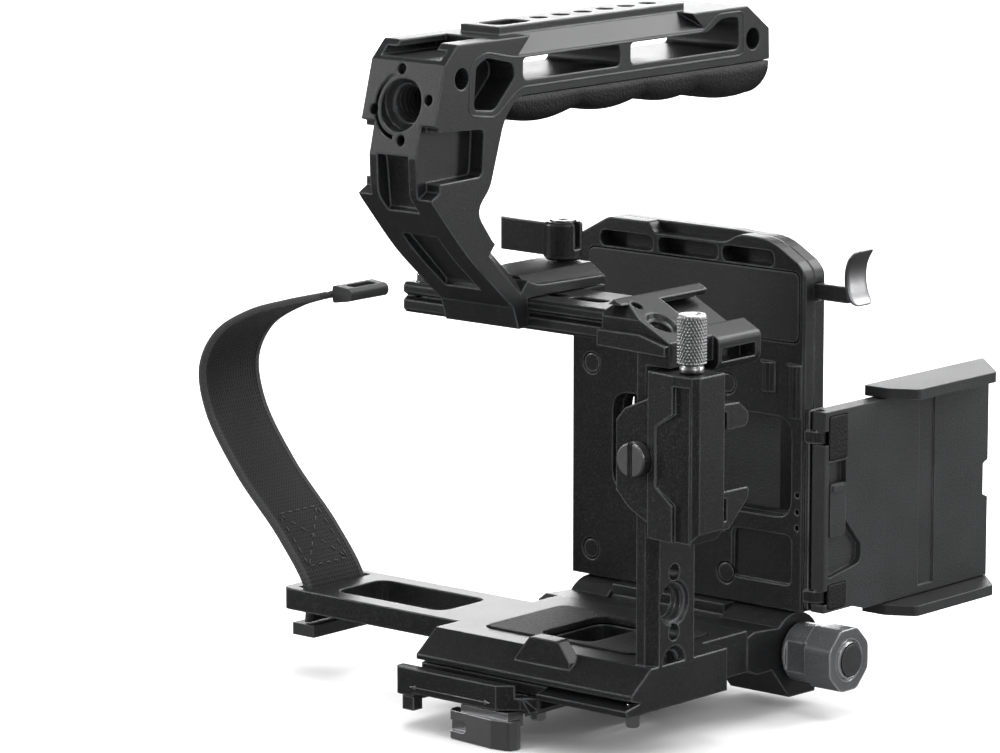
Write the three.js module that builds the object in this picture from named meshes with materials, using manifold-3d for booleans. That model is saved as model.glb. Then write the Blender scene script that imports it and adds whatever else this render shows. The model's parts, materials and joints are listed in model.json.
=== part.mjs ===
// A camera rig: a machined half cage with a top handle, a cable clamp, a tilting battery plate,
// a swinging screen hood, a quick-release plate and a hand strap.
// Millimetres. X runs to the camera's port side, Y to its back, Z up. While the parts are laid
// out, zero is the lower front edge of the camera's port side; the finished rig is then moved so
// that its origin is the middle of the quick-release plate's underside.
import * as THREE from "three";
import { mergeVertices } from "three/addons/utils/BufferGeometryUtils.js";
import Module from "manifold-3d";

const wasm = await Module();
wasm.setup();

// ---------------------------------------------------------------- driving dimensions
const gap = 0.3; // clear space between two pieces that touch
const camera = { depth: 50, height: 76, room: 0.5, axisX: -45 };
const cage = {
  wall: 5.2, barDepth: 15.6, barChamfer: 2.5, baseWidth: 68, baseThick: 10.5, ledge: 7.8,
  railLength: 64, railWidth: 21, railHeight: 7.5, veeDepth: 1.5, veeHalf: 1, screwX: -14, screwY: 24,
};
const shoulder = { depth: 34, slope: 27, lip: 1.5, slot: 2, throat: 12.5, shoe: 18.6 };
const threads = { quarter: 3.2, threeEighths: 4.9, pin: 2.05, small: 1.5 };
const cornerPin = { x: 3.4, y: -4.6, radius: 1.65 };
const stopPin = { radius: 1.5, inset: 3.7, back: 3 };
// The handle's heights are drawn over a rail whose top is at drawnRail, the clamp's under a rail whose
// underside is at drawnUnder; both then move with the real rail.
const handle = {
  drawnRail: 84, width: 23, beamTop: 147.3, beamLow: 133.3, front: -29.5, back: 93.5, bevel: 5,
  bevelDrop: 4.2, stripWidth: 12, stripHeight: 2, holeStep: 8.3, holes: 6, holeRadius: 2.4, footTop: 86.4,
  footRise: 2.7, footWall: 8.5, footBevel: 4.6, column: 14.6,
};
const lever = { inset: 3, barrel: 4.8, height: 9.4, reach: 18.7, wing: 4.4, shaft: 2, head: 3, slack: 1.4 };
const clamp = {
  drawnUnder: 76.5, left: 6, width: 15.6, front: -4, back: 6.6, low: 31.7, high: 71.7, screwX: 15.9,
  screwY: 1.3, spindle: 2, head: 3.6, headHeight: 11.8, earFront: -2.4, earLeft: -3.8,
  padWidth: 8.4, padSlope: 1.2, recessDepth: 1.2, earLow: 38, earHigh: 62,
  coin: 4.25, coinX: 3, coinZ: 50.3, coinShank: 1.9,
};
const plate = {
  right: 0.6, width: 73.6, low: 1.2, high: 93.9, layer: 3.8, corner: 9, slotHeight: 4,
  slots: [[0.117, 0.351], [0.372, 0.632], [0.648, 0.87]],
  windowLow: 24.3, windowHigh: 49.6, panelLow: 68.2, panelHigh: 86.1,
};
const tilt = { back: 19.6, z: -8.9, pin: 3, boss: 9.6, knuckle: 8.8, earRight: -2, ear: 18.4,
    earLeft: -57 };
const knob = { length: 16, body: 7.4, grip: 8.4, ring: 5.2, cap: 4 };
const paddle = { z: 81, arm: 4, reach: 10, height: 13.8, width: 8, thick: 1.5 };
const latch = { width: 9.8, low: 67.4, high: 71.6, travel: 4.5 };
const receiver = { width: 47, low: 6, high: 78, thick: 5 };
const hood = {
  inner: 2.3, thick: 4.7, length: 69, low: 0.3, high: 52, flangeOut: 8, flangeThick: 2.6,
  flangeStart: 24, flangeTaper: 4, pin: 1, pinZ: 4,
};
const release = { left: -66, right: -24, front: -14, depth: 52, thick: 4.7, nose: 8, lip: 7.4 };
const lock = { left: -47, right: -26, drop: 7.2, thick: 3.6, stop: 3.6 };
const dropPin = { radius: 2, inset: 6, back: 14 };
const strap = { width: 22, thick: 2.2, y: 11, armLeft: -122, slotX: -116.5, bulge: -153, belowRail: 1.5 };

// ---------------------------------------------------------------- values worked out from them
const barIn = camera.room;
const barOut = barIn + cage.wall;
const baseTop = -camera.room;
const baseLow = baseTop - cage.baseThick;
const railLow = camera.height + camera.room;
const railTop = railLow + cage.railHeight;
const railFront = camera.room;
const railBack = railFront + cage.railWidth;
const railRight = -9.5;
const footBack = railBack + handle.footWall;
const leverY = footBack - lever.inset;
const railLeft = railRight - cage.railLength;
const veeZ = railLow + 4.1;
const handleX = camera.axisX;
const handleRight = handleX + handle.width / 2;
const handleLeft = handleX - handle.width / 2;
const handleLift = railTop - handle.drawnRail;
const clampLift = railLow - clamp.drawnUnder;
const baseDepth = camera.depth - 4;
const hingeFront = baseDepth + gap;
const tiltY = hingeFront + tilt.back;
plate.front = tiltY - 1.4;
const plateBack = plate.front + plate.layer + gap;
const plateRear = plateBack + plate.layer;
const plateLeft = plate.right - plate.width;
latch.left = plateLeft + (plate.width - latch.width) / 2;
latch.right = latch.left + latch.width;
const latchLow = latch.low - latch.travel - gap;
const hoodOut = hood.inner + hood.thick;
const hoodFront = plate.front + 0.5;
const hoodPin = { x: hood.inner + 1.6, y: hoodFront + 1.7 };
const releaseMiddle = (release.left + release.right) / 2;
const releaseScrews = [4, 22];
const releaseTop = baseLow - gap;
const releaseLow = releaseTop - release.thick;

// ---------------------------------------------------------------- looks
function look(color, roughness, metalness) {
  return new THREE.MeshStandardMaterial({ color, roughness, metalness });
}
const blackAnodised = () => look(0x26272a, 0.5, 0.7);
const darkPanel = () => look(0x2e2f31, 0.62, 0.3);
const blackSteel = () => look(0x1e1f21, 0.4, 0.8);
const greyMetal = () => look(0x58595c, 0.4, 0.9);
const steel = () => look(0x9b9d9f, 0.35, 1);
const chrome = () => look(0xc9cbcd, 0.15, 1);
const rubber = () => look(0x1b1b1c, 0.85, 0);
const plastic = () => look(0x2a2b2d, 0.55, 0);
const webbing = () => look(0x202022, 0.9, 0);
const brass = () => look(0xb08d4c, 0.35, 1);

// ---------------------------------------------------------------- shape tools
function solid(geometry) {
  const bare = geometry.index ? geometry.toNonIndexed() : geometry.clone();
  bare.deleteAttribute("normal");
  bare.deleteAttribute("uv");
  const merged = mergeVertices(bare, 1e-5);
  return new wasm.Manifold(new wasm.Mesh({
    numProp: 3,
    vertProperties: new Float32Array(merged.attributes.position.array),
    triVerts: new Uint32Array(merged.index.array),
  }));
}

function box(x, y, z) {
  const geometry = new THREE.BoxGeometry(x[1] - x[0], y[1] - y[0], z[1] - z[0]);
  geometry.translate((x[0] + x[1]) / 2, (y[0] + y[1]) / 2, (z[0] + z[1]) / 2);
  return solid(geometry);
}

// An outline's corner may carry a radius as its third number; it becomes an arc of a few steps.
function outline(corners, steps = 4) {
  const points = [];
  corners.forEach((corner, i) => {
    const here = new THREE.Vector2(corner[0], corner[1]);
    if (!corner[2]) {
      points.push(here);
      return;
    }
    const last = corners[(i + corners.length - 1) % corners.length];
    const next = corners[(i + 1) % corners.length];
    const back = new THREE.Vector2(last[0], last[1]).sub(here);
    const ahead = new THREE.Vector2(next[0], next[1]).sub(here);
    const reach = Math.min(corner[2], back.length() * 0.49, ahead.length() * 0.49);
    const from = back.setLength(reach).add(here);
    const to = ahead.setLength(reach).add(here);
    points.push(...new THREE.QuadraticBezierCurve(from, here, to).getPoints(steps));
  });
  return points;
}

function rectangle(u, v, radius = 0) {
  return [[u[0], v[0], radius], [u[1], v[0], radius], [u[1], v[1], radius], [u[0], v[1], radius]];
}

function circle(u, v, radius, sides = 20) {
  return Array.from({ length: sides }, (_, i) => {
    const turn = (i / sides) * Math.PI * 2;
    return [u + radius * Math.cos(turn), v + radius * Math.sin(turn)];
  });
}

// Extrudes an outline along an axis. It is drawn in (Y, Z) for x, in (X, Z) for y, in (X, Y) for z.
const planes = {
  x: (span) => new THREE.Matrix4().set(0, 0, 1, span[0], 1, 0, 0, 0, 0, 1, 0, 0, 0, 0, 0, 1),
  y: (span) => new THREE.Matrix4().set(1, 0, 0, 0, 0, 0, -1, span[1], 0, 1, 0, 0, 0, 0, 0, 1),
  z: (span) => new THREE.Matrix4().set(1, 0, 0, 0, 0, 1, 0, 0, 0, 0, 1, span[0], 0, 0, 0, 1),
};

function prism(axis, corners, span, steps) {
  const shape = new THREE.Shape(outline(corners, steps));
  const geometry = new THREE.ExtrudeGeometry(shape, { depth: span[1] - span[0], bevelEnabled: false });
  geometry.applyMatrix4(planes[axis](span));
  return solid(geometry);
}

function rod(axis, u, v, radius, span, sides = 20) {
  return prism(axis, circle(u, v, radius, sides), span);
}

// A turned piece: profile is a list of [radius, height], starting and ending on the axis.
function turned(axis, u, v, profile, sides = 24) {
  const geometry = new THREE.LatheGeometry(profile.map(([r, h]) => new THREE.Vector2(r, h)), sides);
  geometry.rotateX(Math.PI / 2);
  if (axis === "x") geometry.rotateY(Math.PI / 2);
  if (axis === "y") geometry.rotateX(-Math.PI / 2);
  const place = { x: [0, u, v], y: [u, 0, v], z: [u, v, 0] }[axis];
  geometry.translate(...place);
  return solid(geometry);
}

function union(first, ...others) {
  return others.reduce((whole, piece) => whole.add(piece), first);
}

function without(first, ...cuts) {
  return cuts.reduce((whole, piece) => whole.subtract(piece), first);
}

function mirrorAcrossHandle(make) {
  return [make(1), make(-1)];
}

const rig = new THREE.Group();
const layout = new THREE.Group();
rig.add(layout);

function part(name, body, material) {
  const result = body.getMesh();
  const geometry = new THREE.BufferGeometry();
  geometry.setAttribute("position", new THREE.BufferAttribute(new Float32Array(result.vertProperties), 3));
  geometry.setIndex(new THREE.BufferAttribute(new Uint32Array(result.triVerts), 1));
  const mesh = new THREE.Mesh(geometry, material);
  mesh.name = name;
  layout.add(mesh);
}

// ---------------------------------------------------------------- cage
// The rail's section: a shallow V groove runs along each side for the handle's jaws.
function railSection() {
  const side = (y, inward) => [
    [y, railLow + 1], [y, veeZ - cage.veeHalf], [y + inward * cage.veeDepth, veeZ],
    [y, veeZ + cage.veeHalf], [y, railTop - 0.8], [y + inward * 0.8, railTop],
  ];
  const front = side(railFront, 1);
  const back = side(railBack, -1).reverse();
  return [[railFront + 1, railLow], ...front, ...back, [railBack - 1, railLow]];
}

// Height of the shoulder's sloping face over a place in X.
function slopeZ(x) {
  return railTop - 5.7 + (10.5 - x) * Math.tan(THREE.MathUtils.degToRad(shoulder.slope));
}

// Moves a solid that was drawn about the origin, with X down the slope and Z square to it.
function onSlope(piece, x, y) {
  const angle = THREE.MathUtils.degToRad(shoulder.slope);
  const place = new THREE.Matrix4().makeRotationY(angle);
  place.setPosition(x, y, slopeZ(x));
  return piece.transform(place.elements);
}

function shoulderBlock() {
  const rise = slopeZ(-6.5);
  const low = railLow - 6.7;
  const top = [[railRight - 0.6, railLow], [railRight - 0.6, rise - 3], [-6.5, rise], [10.5, slopeZ(10.5)]];
  const front = prism("y", [...top, [10.5, railLow - 0.7], [barIn, railLow - 0.7], [barIn, railLow]],
      [-0.3, 16]);
  const under = box([barIn, 10.5], [0, 16], [clamp.high + clampLift + 2 * gap, railLow]);
  const rear = prism("y", [...top, [12.4, slopeZ(12.4), 2.4], [12.4, low + 1.6, 1], [11, low], [barIn, low],
    [barIn, railLow]], [15.9, shoulder.depth - 2]);
  const slot = shoulder.lip + shoulder.slot;
  const half = [shoulder.throat / 2, shoulder.shoe / 2];
  const shoe = union(
    box([-half[0], half[0]], [0, 30], [-slot, 4]),
    box([-half[1], half[1]], [0, 30], [-slot, -shoulder.lip]),
  );
  const bore = onSlope(rod("z", 0, 0, threads.quarter, [-9, 4]), 3.6, 5.4);
  const flare = onSlope(turned("z", 0, 0, [[0, -0.9], [threads.quarter, -0.9], [threads.quarter + 1.2, 0.3],
    [threads.quarter + 1.2, 2], [0, 2]]), 3.6, 5.4);
  const pinhole = onSlope(rod("z", 0, 0, threads.small, [-4, 4], 14), -3.2, 4.4);
  const nose = prism("x", [[-3, slopeZ(-2) - 4.6], [2.6, slopeZ(-2) + 1], [-3, slopeZ(-2) + 1]],
      [-12, 2.5]);
  const lug = union(
    box([7.6, 14], [17, 30], [low + 2, low + 5.2]),
    box([7.6, 9.8], [17, 30], [low - 1, low + 3]),
  );
  return without(union(front, under, rear), onSlope(shoe, 1.55, 14), bore, flare, pinhole, nose, lug);
}

function railBlock() {
  const rail = prism("x", railSection(), [railLeft, railRight]);
  const slots = [0, 1, 2, 3].map((i) => {
    const x = -22 - 13 * i;
    const y = railFront + 9;
    return prism("z", rectangle([x - 5.5, x + 5.5], [y - 2.1, y + 2.1], 2), [railLow - 1, railTop + 1]);
  });
  const pocket = rod("z", railLeft + stopPin.inset, railFront + stopPin.back, stopPin.radius + gap,
    [railTop - 5, railTop + 1], 16);
  const screw = turned("z", railLeft + 8.6, railFront + 3, [[0, railTop - 1], [1.4, railTop - 1],
    [1.9, railTop + 0.5], [0, railTop + 0.5]], 16);
  return without(rail, ...slots, pocket, screw);
}

function sideBar() {
  const c = cage.barChamfer;
  const section = [[barIn, 0], [barOut - c, 0], [barOut, c], [barOut, cage.barDepth],
      [barIn, cage.barDepth]];
  const bar = prism("z", section, [baseLow, railLow]);
  const y = cage.barDepth / 2 + 0.2;
  const hole = (z, radius, sides) => rod("x", y, z, radius, [barIn - 1, barOut + 1], sides);
  const flare = (z, radius, wide) => turned("x", y, z, [[0, barOut - wide], [radius, barOut - wide],
    [radius + wide, barOut], [radius + wide, barOut + 1], [0, barOut + 1]]);
  return without(
    bar,
    hole(14.1, threads.threeEighths, 24), flare(14.1, threads.threeEighths, 0.7),
    hole(21.6, threads.pin, 16), hole(7, threads.pin, 16),
    hole(-0.6, threads.quarter, 20), flare(-0.6, threads.quarter, 1.2),
    rod("y", clamp.coinX, clamp.coinZ + clampLift, clamp.coinShank + 0.1, [-1, 10], 16),
  );
}

// The base's section shows the sloping front ledge with a groove under its edge.
function baseBlock() {
  const edge = -cage.ledge;
  const section = [[baseDepth, baseTop], [-0.5, baseTop], [-2, -1.6], [edge, -6], [edge, -7.2],
    [edge + 3.2, -8.2], [edge - 2.5, -9.2], [edge - 1.2, baseLow], [baseDepth, baseLow]];
  const block = prism("x", section, [-cage.baseWidth + barOut, barOut]);
  const corner = box([-2, barOut + 1], [28.5, baseDepth + 1], [baseLow - 1, baseTop + 1]);
  const noseRoom = box([release.left - 1, release.right + 2], [-20, edge + 2],
    [baseLow - 1, -release.nose + gap]);
  const padRoom = prism("z", rectangle([-54, -6], [7, 38], 3), [baseTop - 1.5, baseTop + 1]);
  const screwHead = rod("z", cage.screwX, cage.screwY, 5.4, [baseLow - 1, baseLow + 3.4], 24);
  const screwHole = rod("z", cage.screwX, cage.screwY, 3.6, [baseLow - 1, 1], 20);
  const pinHole = rod("z", cornerPin.x, cornerPin.y, cornerPin.radius + gap, [baseLow - 1, baseLow + 3],
      16);
  const window = prism("z", rectangle([-38, -22], [10, 34], 4), [baseLow - 1, baseTop + 1]);
  const taps = releaseScrews.map((y) => rod("z", releaseMiddle, y, threads.quarter + gap,
    [baseLow - 1, baseLow + 4.6]));
  return without(block, corner, noseRoom, padRoom, screwHead, screwHole, pinHole, window, ...taps);
}

function strapArm() {
  const x = strap.slotX;
  const back = strap.y + strap.width;
  const arm = prism("z", rectangle([strap.armLeft, barOut - cage.baseWidth + 2], [strap.y - 3, back + 3],
      3),
    [baseTop - 5.5, baseTop]);
  const half = strap.thick / 2 + 0.9;
  const slot = box([x - half, x + half], [strap.y - 0.6, back + 0.6], [baseTop - 7, baseTop + 1]);
  const lighten = prism("z", rectangle([x + 8, x + 44], [strap.y + 2, back - 2], 4),
      [baseTop - 7, baseTop + 1]);
  return without(arm, slot, lighten);
}

function antiTwistLip() {
  return prism("y", [[-33.5, -6], [-33.5, -3], [-28.7, 3, 0.8], [-19.9, 3, 0.8], [-16.2, -2], [-16.2, -6]],
    [-4.6, -0.8]);
}

function cageFrame() {
  part("cage_frame", union(railBlock(), shoulderBlock(), sideBar(), baseBlock(), strapArm(),
      antiTwistLip()),
    blackAnodised());
}

function badgePlate() {
  const top = slopeZ(-2) - 4.9;
  const corners = [[railRight - 0.6, railLow - 0.6], [railRight - 0.6, top], [2.4, top],
    [10.5, slopeZ(10.5) - 0.6], [10.5, railLow - 1.2]];
  part("badge_plate", prism("y", corners, [-2.2, -0.6]), blackAnodised());
}

function cageSmallParts() {
  part("base_pad", without(
    prism("z", rectangle([-53.6, -6.4], [7.4, 37.6], 3), [baseTop - 1.2, baseTop + 0.4]),
    prism("z", rectangle([-38.4, -21.6], [9.6, 34.4], 4), [baseTop - 2, baseTop + 1]),
    rod("z", cage.screwX, cage.screwY, 4, [baseTop - 2, baseTop + 1]),
  ), rubber());
  const coinSlot = box([cage.screwX - 6, cage.screwX + 6], [cage.screwY - 0.7, cage.screwY + 0.7],
    [baseLow - 1, baseLow + 1.5]);
  part("camera_screw", without(turned("z", cage.screwX, cage.screwY,
      [[0, baseLow + 0.3], [5, baseLow + 0.3], [5, baseLow + 3],
    [3.1, baseLow + 3], [3.1, 4.5], [2.6, 5], [0, 5]]), coinSlot), steel());
  const tip = cornerPin.radius;
  part("corner_pin", turned("z", cornerPin.x, cornerPin.y, [[0, baseLow - 3.2], [tip - 0.35, baseLow - 3.2],
    [tip, baseLow - 2.8], [tip, baseLow + 2.6], [0, baseLow + 2.6]]), chrome());
  const stop = stopPin.radius;
  part("rail_stop_pin", turned("z", railLeft + stopPin.inset, railFront + stopPin.back, [[0, railTop - 2.6],
    [stop, railTop - 2.6], [stop, railTop + 2], [stop - 0.4, railTop + 2.4], [0, railTop + 2.4]]),
        chrome());
  part("rail_screw", turned("z", railLeft + 8.6, railFront + 3, [[0, railTop - 0.7], [1, railTop - 0.7],
    [1.5, railTop], [0, railTop]], 16), steel());
}

// ---------------------------------------------------------------- top handle
// Section of the handle in (Y, Z): head, beam, post, slanting leg, foot and front jaw.
function handleSection() {
  const face = railFront - gap;
  const bottom = handle.drawnRail + gap;
  const vee = veeZ - handleLift;
  const reach = cage.veeDepth - 0.54;
  const top = handle.beamTop;
  return [
    [handle.front, top - 4.5], [handle.front + 4.6, top], [84.5, top], [93.3, top - 6.2],
    [handle.back, handle.beamLow], [-3.4, handle.beamLow, 3], [-8.3, handle.beamLow - 5, 3],
        [-13.5, 112.3, 2],
    [-18.6, 107.2, 5], [-12.8, 99.7], [1.4, handle.footTop + 0.6, 5], [footBack - 1, handle.footTop, 1],
    [footBack, bottom], [face, bottom], [face, vee + 0.84], [face + reach + 0.3, vee],
    [face, vee - 0.84], [face, vee - 3.4], [-3.2, vee - 3.4], [-5, 82.5], [-21.5, 96.5, 6],
    [-34.8, 111.6, 2], [-35.2, 121], [handle.front - 4, handle.beamLow - 5.3],
  ];
}

function handleBlank() {
  const side = prism("x", handleSection(), [handleLeft, handleRight]);
  const rise = handle.footTop + handle.footRise;
  const slant = handle.footBevel;
  const hump = prism("y", [[handleLeft, handle.footTop - 1.4], [handleLeft, handle.footTop - 0.4],
    [handleLeft + slant, rise], [handleRight - slant, rise], [handleRight, handle.footTop - 0.4],
    [handleRight, handle.footTop - 1.4]], [2, footBack - 0.6]);
  const half = handle.stripWidth / 2;
  const strip = box([handleX - half, handleX + half], [-4, 66],
    [handle.beamTop - 1, handle.beamTop + handle.stripHeight]);
  return union(side, hump, strip);
}

function beamBevel(sign) {
  const edge = handleX + (sign * handle.width) / 2;
  const top = handle.beamTop;
  const wedge = [[edge + sign, top - handle.bevelDrop], [edge, top - handle.bevelDrop],
    [edge - sign * handle.bevel, top + 0.1], [edge + sign, top + 0.1]];
  const cut = prism("y", wedge, [-10, 80]);
  return cut.intersect(prism("x", [[-5, top - 6], [3, top + 2], [60, top + 2], [70, top - 6]],
    [handleLeft - 2, handleRight + 2]));
}

function beamSlots() {
  const across = [handleLeft - 1, handleRight + 1];
  const low = handle.beamLow + 3.6;
  return [
    prism("x", rectangle([-1.6, 34.8], [low, low + 5.3], 1.6), across),
    prism("x", [[38.6, low, 1.6], [81.2, low, 1.6], [81.2, low + 8.2, 2], [74, low + 8.2, 2],
      [69, low + 5.3, 2], [38.6, low + 5.3, 1.6]], across),
    rod("x", 86.8, 139, 2.8, across, 18),
  ];
}

// The pocket beside the head and the plain hole in front of it are blind from each side.
function headPockets(sign) {
  const outer = handleX + sign * (handle.width / 2 + 1);
  const inner = handleX + sign * 3.6;
  const span = sign > 0 ? [inner, outer] : [outer, inner];
  return [
    prism("x", [[-18.6, 141.6, 1.5], [-14.6, 143.4, 1], [-5, 141.2, 1.5], [-4.6, 137.8, 1],
        [-12, 130.6, 1.5],
      [-19.4, 131.4, 1.5]], span),
    rod("x", -23.6, 139.2, 2.6, span, 18),
  ];
}

// Between the head and the lower hooks the post narrows to a central column.
function columnRecess(sign) {
  const outer = handleX + sign * (handle.width / 2 + 1);
  const inner = handleX + (sign * handle.column) / 2;
  const span = sign > 0 ? [inner, outer] : [outer, inner];
  return [
    prism("x", [[-40, 114.9], [-16.4, 115.4, 1.5], [-15.6, 126.6, 1.5], [-40, 127.6]], span),
    prism("x", [[-37, 110], [-31.5, 113], [-31.5, 128.4], [-37, 130]], span),
  ];
}

function headFront() {
  const z = 133;
  const y = handle.front - 3;
  const pins = [0, 1, 2, 3].map((i) => {
    const turn = (i * Math.PI) / 2 + 0.2;
    return rod("y", handleX + 8.3 * Math.cos(turn), z + 8.3 * Math.sin(turn), 1.35, [y - 4, y + 4.5], 14);
  });
  const core = rod("y", handleX, z, 7.2, [y - 7, y + 5], 36);
  const ring = rod("y", handleX, z, 8.2, [y - 6, y + 2.2], 36).subtract(core);
  const half = ring.intersect(box([handleX - 12, handleX - 1], [y - 8, y + 8], [z - 10, z + 10]));
  const flare = turned("y", handleX, z, [[0, y - 4], [threads.threeEighths + 1.4, y - 4],
    [threads.threeEighths + 1.4, y + 1.9], [threads.threeEighths, y + 3.2], [0, y + 3.2]]);
  return [rod("y", handleX, z, threads.threeEighths, [y - 4, y + 15], 28), flare, half, ...pins];
}

function headTop() {
  const top = handle.beamTop;
  const throat = box([handleX - 6.25, handleX + 6.25], [-34, -9], [top - 3.6, top + 1]);
  const under = box([handleX - 9.3, handleX + 9.3], [-34, -9], [top - 3.6, top - 1.5]);
  const long = prism("z", rectangle([handleX - 4, handleX + 4], [-1.5, 11.5], 3), [top - 7, top + 4]);
  const holes = Array.from({ length: handle.holes }, (_, i) => rod("z", handleX, 17.6 + handle.holeStep * i,
    handle.holeRadius, [top - 7, top + 4], 18));
  return [throat, under, long, ...holes];
}

// A scoop down the column's face and two pockets through the leg.
function legPockets() {
  const scoop = prism("x", [[-45, 121.4, 1], [-31.8, 121.4, 2], [-30.4, 108.6], [-34, 104], [-45, 104]],
    [handleX - 4.9, handleX + 4.9]);
  const lower = prism("x", [[-31, 101.6], [-23.2, 101.4, 1], [-9.4, 88.4, 1], [-11.4, 84.6], [-20, 84]],
    [handleX - 5.6, handleX + 5.6]);
  return [scoop, lower];
}

function handleChamfers(sign) {
  const edge = handleX + (sign * handle.width) / 2;
  const plan = [[edge + sign, -42], [edge - sign * 2.4, -42], [edge - sign * 2.4, -38],
      [edge + sign, -34.6]];
  return prism("z", plan, [60, 118]);
}

// The leg's upper edges are cut to the same slant as the foot's.
function legBevel(sign) {
  const edge = (sign * handle.width) / 2;
  const wedge = [[edge + sign, -3.6], [edge, -3.6], [edge - sign * handle.footBevel, 0.4],
      [edge + sign, 0.4]];
  const fall = Math.atan2(handle.footTop + 0.6 - 99.7, 1.4 + 12.8);
  const place = new THREE.Matrix4().makeRotationX(fall);
  place.setPosition(handleX, -12.8, 99.7);
  return prism("y", wedge, [1.5, 17.2]).transform(place.elements);
}

function handleBody() {
  const cuts = mirrorAcrossHandle((sign) => [beamBevel(sign), ...headPockets(sign), ...columnRecess(sign),
    handleChamfers(sign), legBevel(sign)]).flat();
  const screwHole = rod("z", handleX, leverY, lever.shaft + 0.4, [70, 100], 18);
  const body = without(handleBlank(), ...cuts, ...beamSlots(), ...headFront(), ...headTop(),
      ...legPockets(),
    screwHole);
  part("handle_body", body.translate(0, 0, handleLift), blackAnodised());
}

// Underside of the grip: one shallow lobe for each finger between the cusps.
function gripUnderside() {
  const cusps = [[-3.5, 127.7], [20.6, 128.2], [45.3, 128.4], [65.5, 127.6], [87.5, 124.6]];
  const sag = [2.2, 2.2, 2, 1.6];
  const steps = 8;
  const points = [];
  sag.forEach((depth, lobe) => {
    const [from, to] = [cusps[lobe], cusps[lobe + 1]];
    for (let i = 0; i < steps; i += 1) {
      const t = i / steps;
      const z = from[1] + (to[1] - from[1]) * t - depth * Math.sin(Math.PI * t);
      points.push([from[0] + (to[0] - from[0]) * t, z]);
    }
  });
  return [...points, cusps[4]];
}

function handleGrip() {
  const top = handle.beamLow - gap;
  const end = handle.back - 0.3;
  const side = [[0.2, top], [-5.2, handle.beamLow - 2.4], [-7.4, handle.beamLow - 4.7], ...gripUnderside(),
    [end, 128], [end, top]];
  const body = prism("x", side, [handleLeft, handleRight]);
  const section = [[handleLeft, top + 1], [handleLeft, 127.4, 2], [handleLeft + 3.4, 122, 2],
    [handleRight - 3.4, 122, 2], [handleRight, 127.4, 2], [handleRight, top + 1]];
  const grip = body.intersect(prism("y", section, [-12, handle.back + 2]));
  part("handle_grip", grip.translate(0, 0, handleLift), rubber());
}

function handleClamp() {
  const bottom = railTop + gap;
  const face = railBack + gap;
  const tooth = face - (cage.veeDepth - 0.54) - 0.3;
  const section = [[face, bottom - gap - 0.1], [face, veeZ + 0.84], [tooth, veeZ], [face, veeZ - 0.84],
    [face, veeZ - 3.4], [footBack - 1.4, veeZ - 3.4], [footBack, veeZ - 1.6],
    [footBack, bottom - gap - 0.1]];
  const bore = prism("z", rectangle([handleX - lever.shaft - 0.4, handleX + lever.shaft + 0.4],
    [leverY - lever.slack - lever.shaft - 0.4, leverY + lever.shaft + 0.4], 2.2),
        [railLow - 2, railTop + 2]);
  const jaw = prism("x", section, [handleLeft + 0.6, handleRight - 0.6]);
  part("clamp_jaw", jaw.subtract(bore), blackAnodised());

  const seat = handle.footTop + handleLift + handle.footRise + gap;
  const top = seat + lever.height;
  const barrel = turned("z", handleX, leverY, [[0, seat], [4, seat], [lever.barrel, seat + 0.8],
    [lever.barrel, top - 0.6], [lever.barrel - 0.6, top], [0, top]]);
  const wing = prism("z", [[handleX, leverY - 2.8], [handleX - lever.reach, leverY - lever.wing / 2, 1.4],
    [handleX - lever.reach, leverY + lever.wing / 2, 1.4], [handleX, leverY + 2.8]],
        [seat + 0.9, top - 0.5]);
  const notch = box([handleX + 2.6, handleX + 6], [leverY - 1.2, leverY + 1.2], [seat + 2.8, top + 1]);
  const shaftBore = rod("z", handleX, leverY, lever.shaft + 0.3, [seat - 1, top + 1], 18);
  const recess = rod("z", handleX, leverY, lever.head + 0.3, [top - 1.6, top + 1], 20);
  part("clamp_lever", without(union(barrel, wing), notch, shaftBore, recess), blackSteel());
  const hex = prism("z", circle(handleX, leverY, 1.3, 6), [top - 0.6, top + 1]);
  part("lever_screw", turned("z", handleX, leverY, [[0, veeZ - 2.6], [lever.shaft, veeZ - 2.6],
    [lever.shaft, top - 1.3], [lever.head, top - 1.3], [lever.head, top + 0.3],
        [0, top + 0.3]]).subtract(hex), steel());
}

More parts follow.
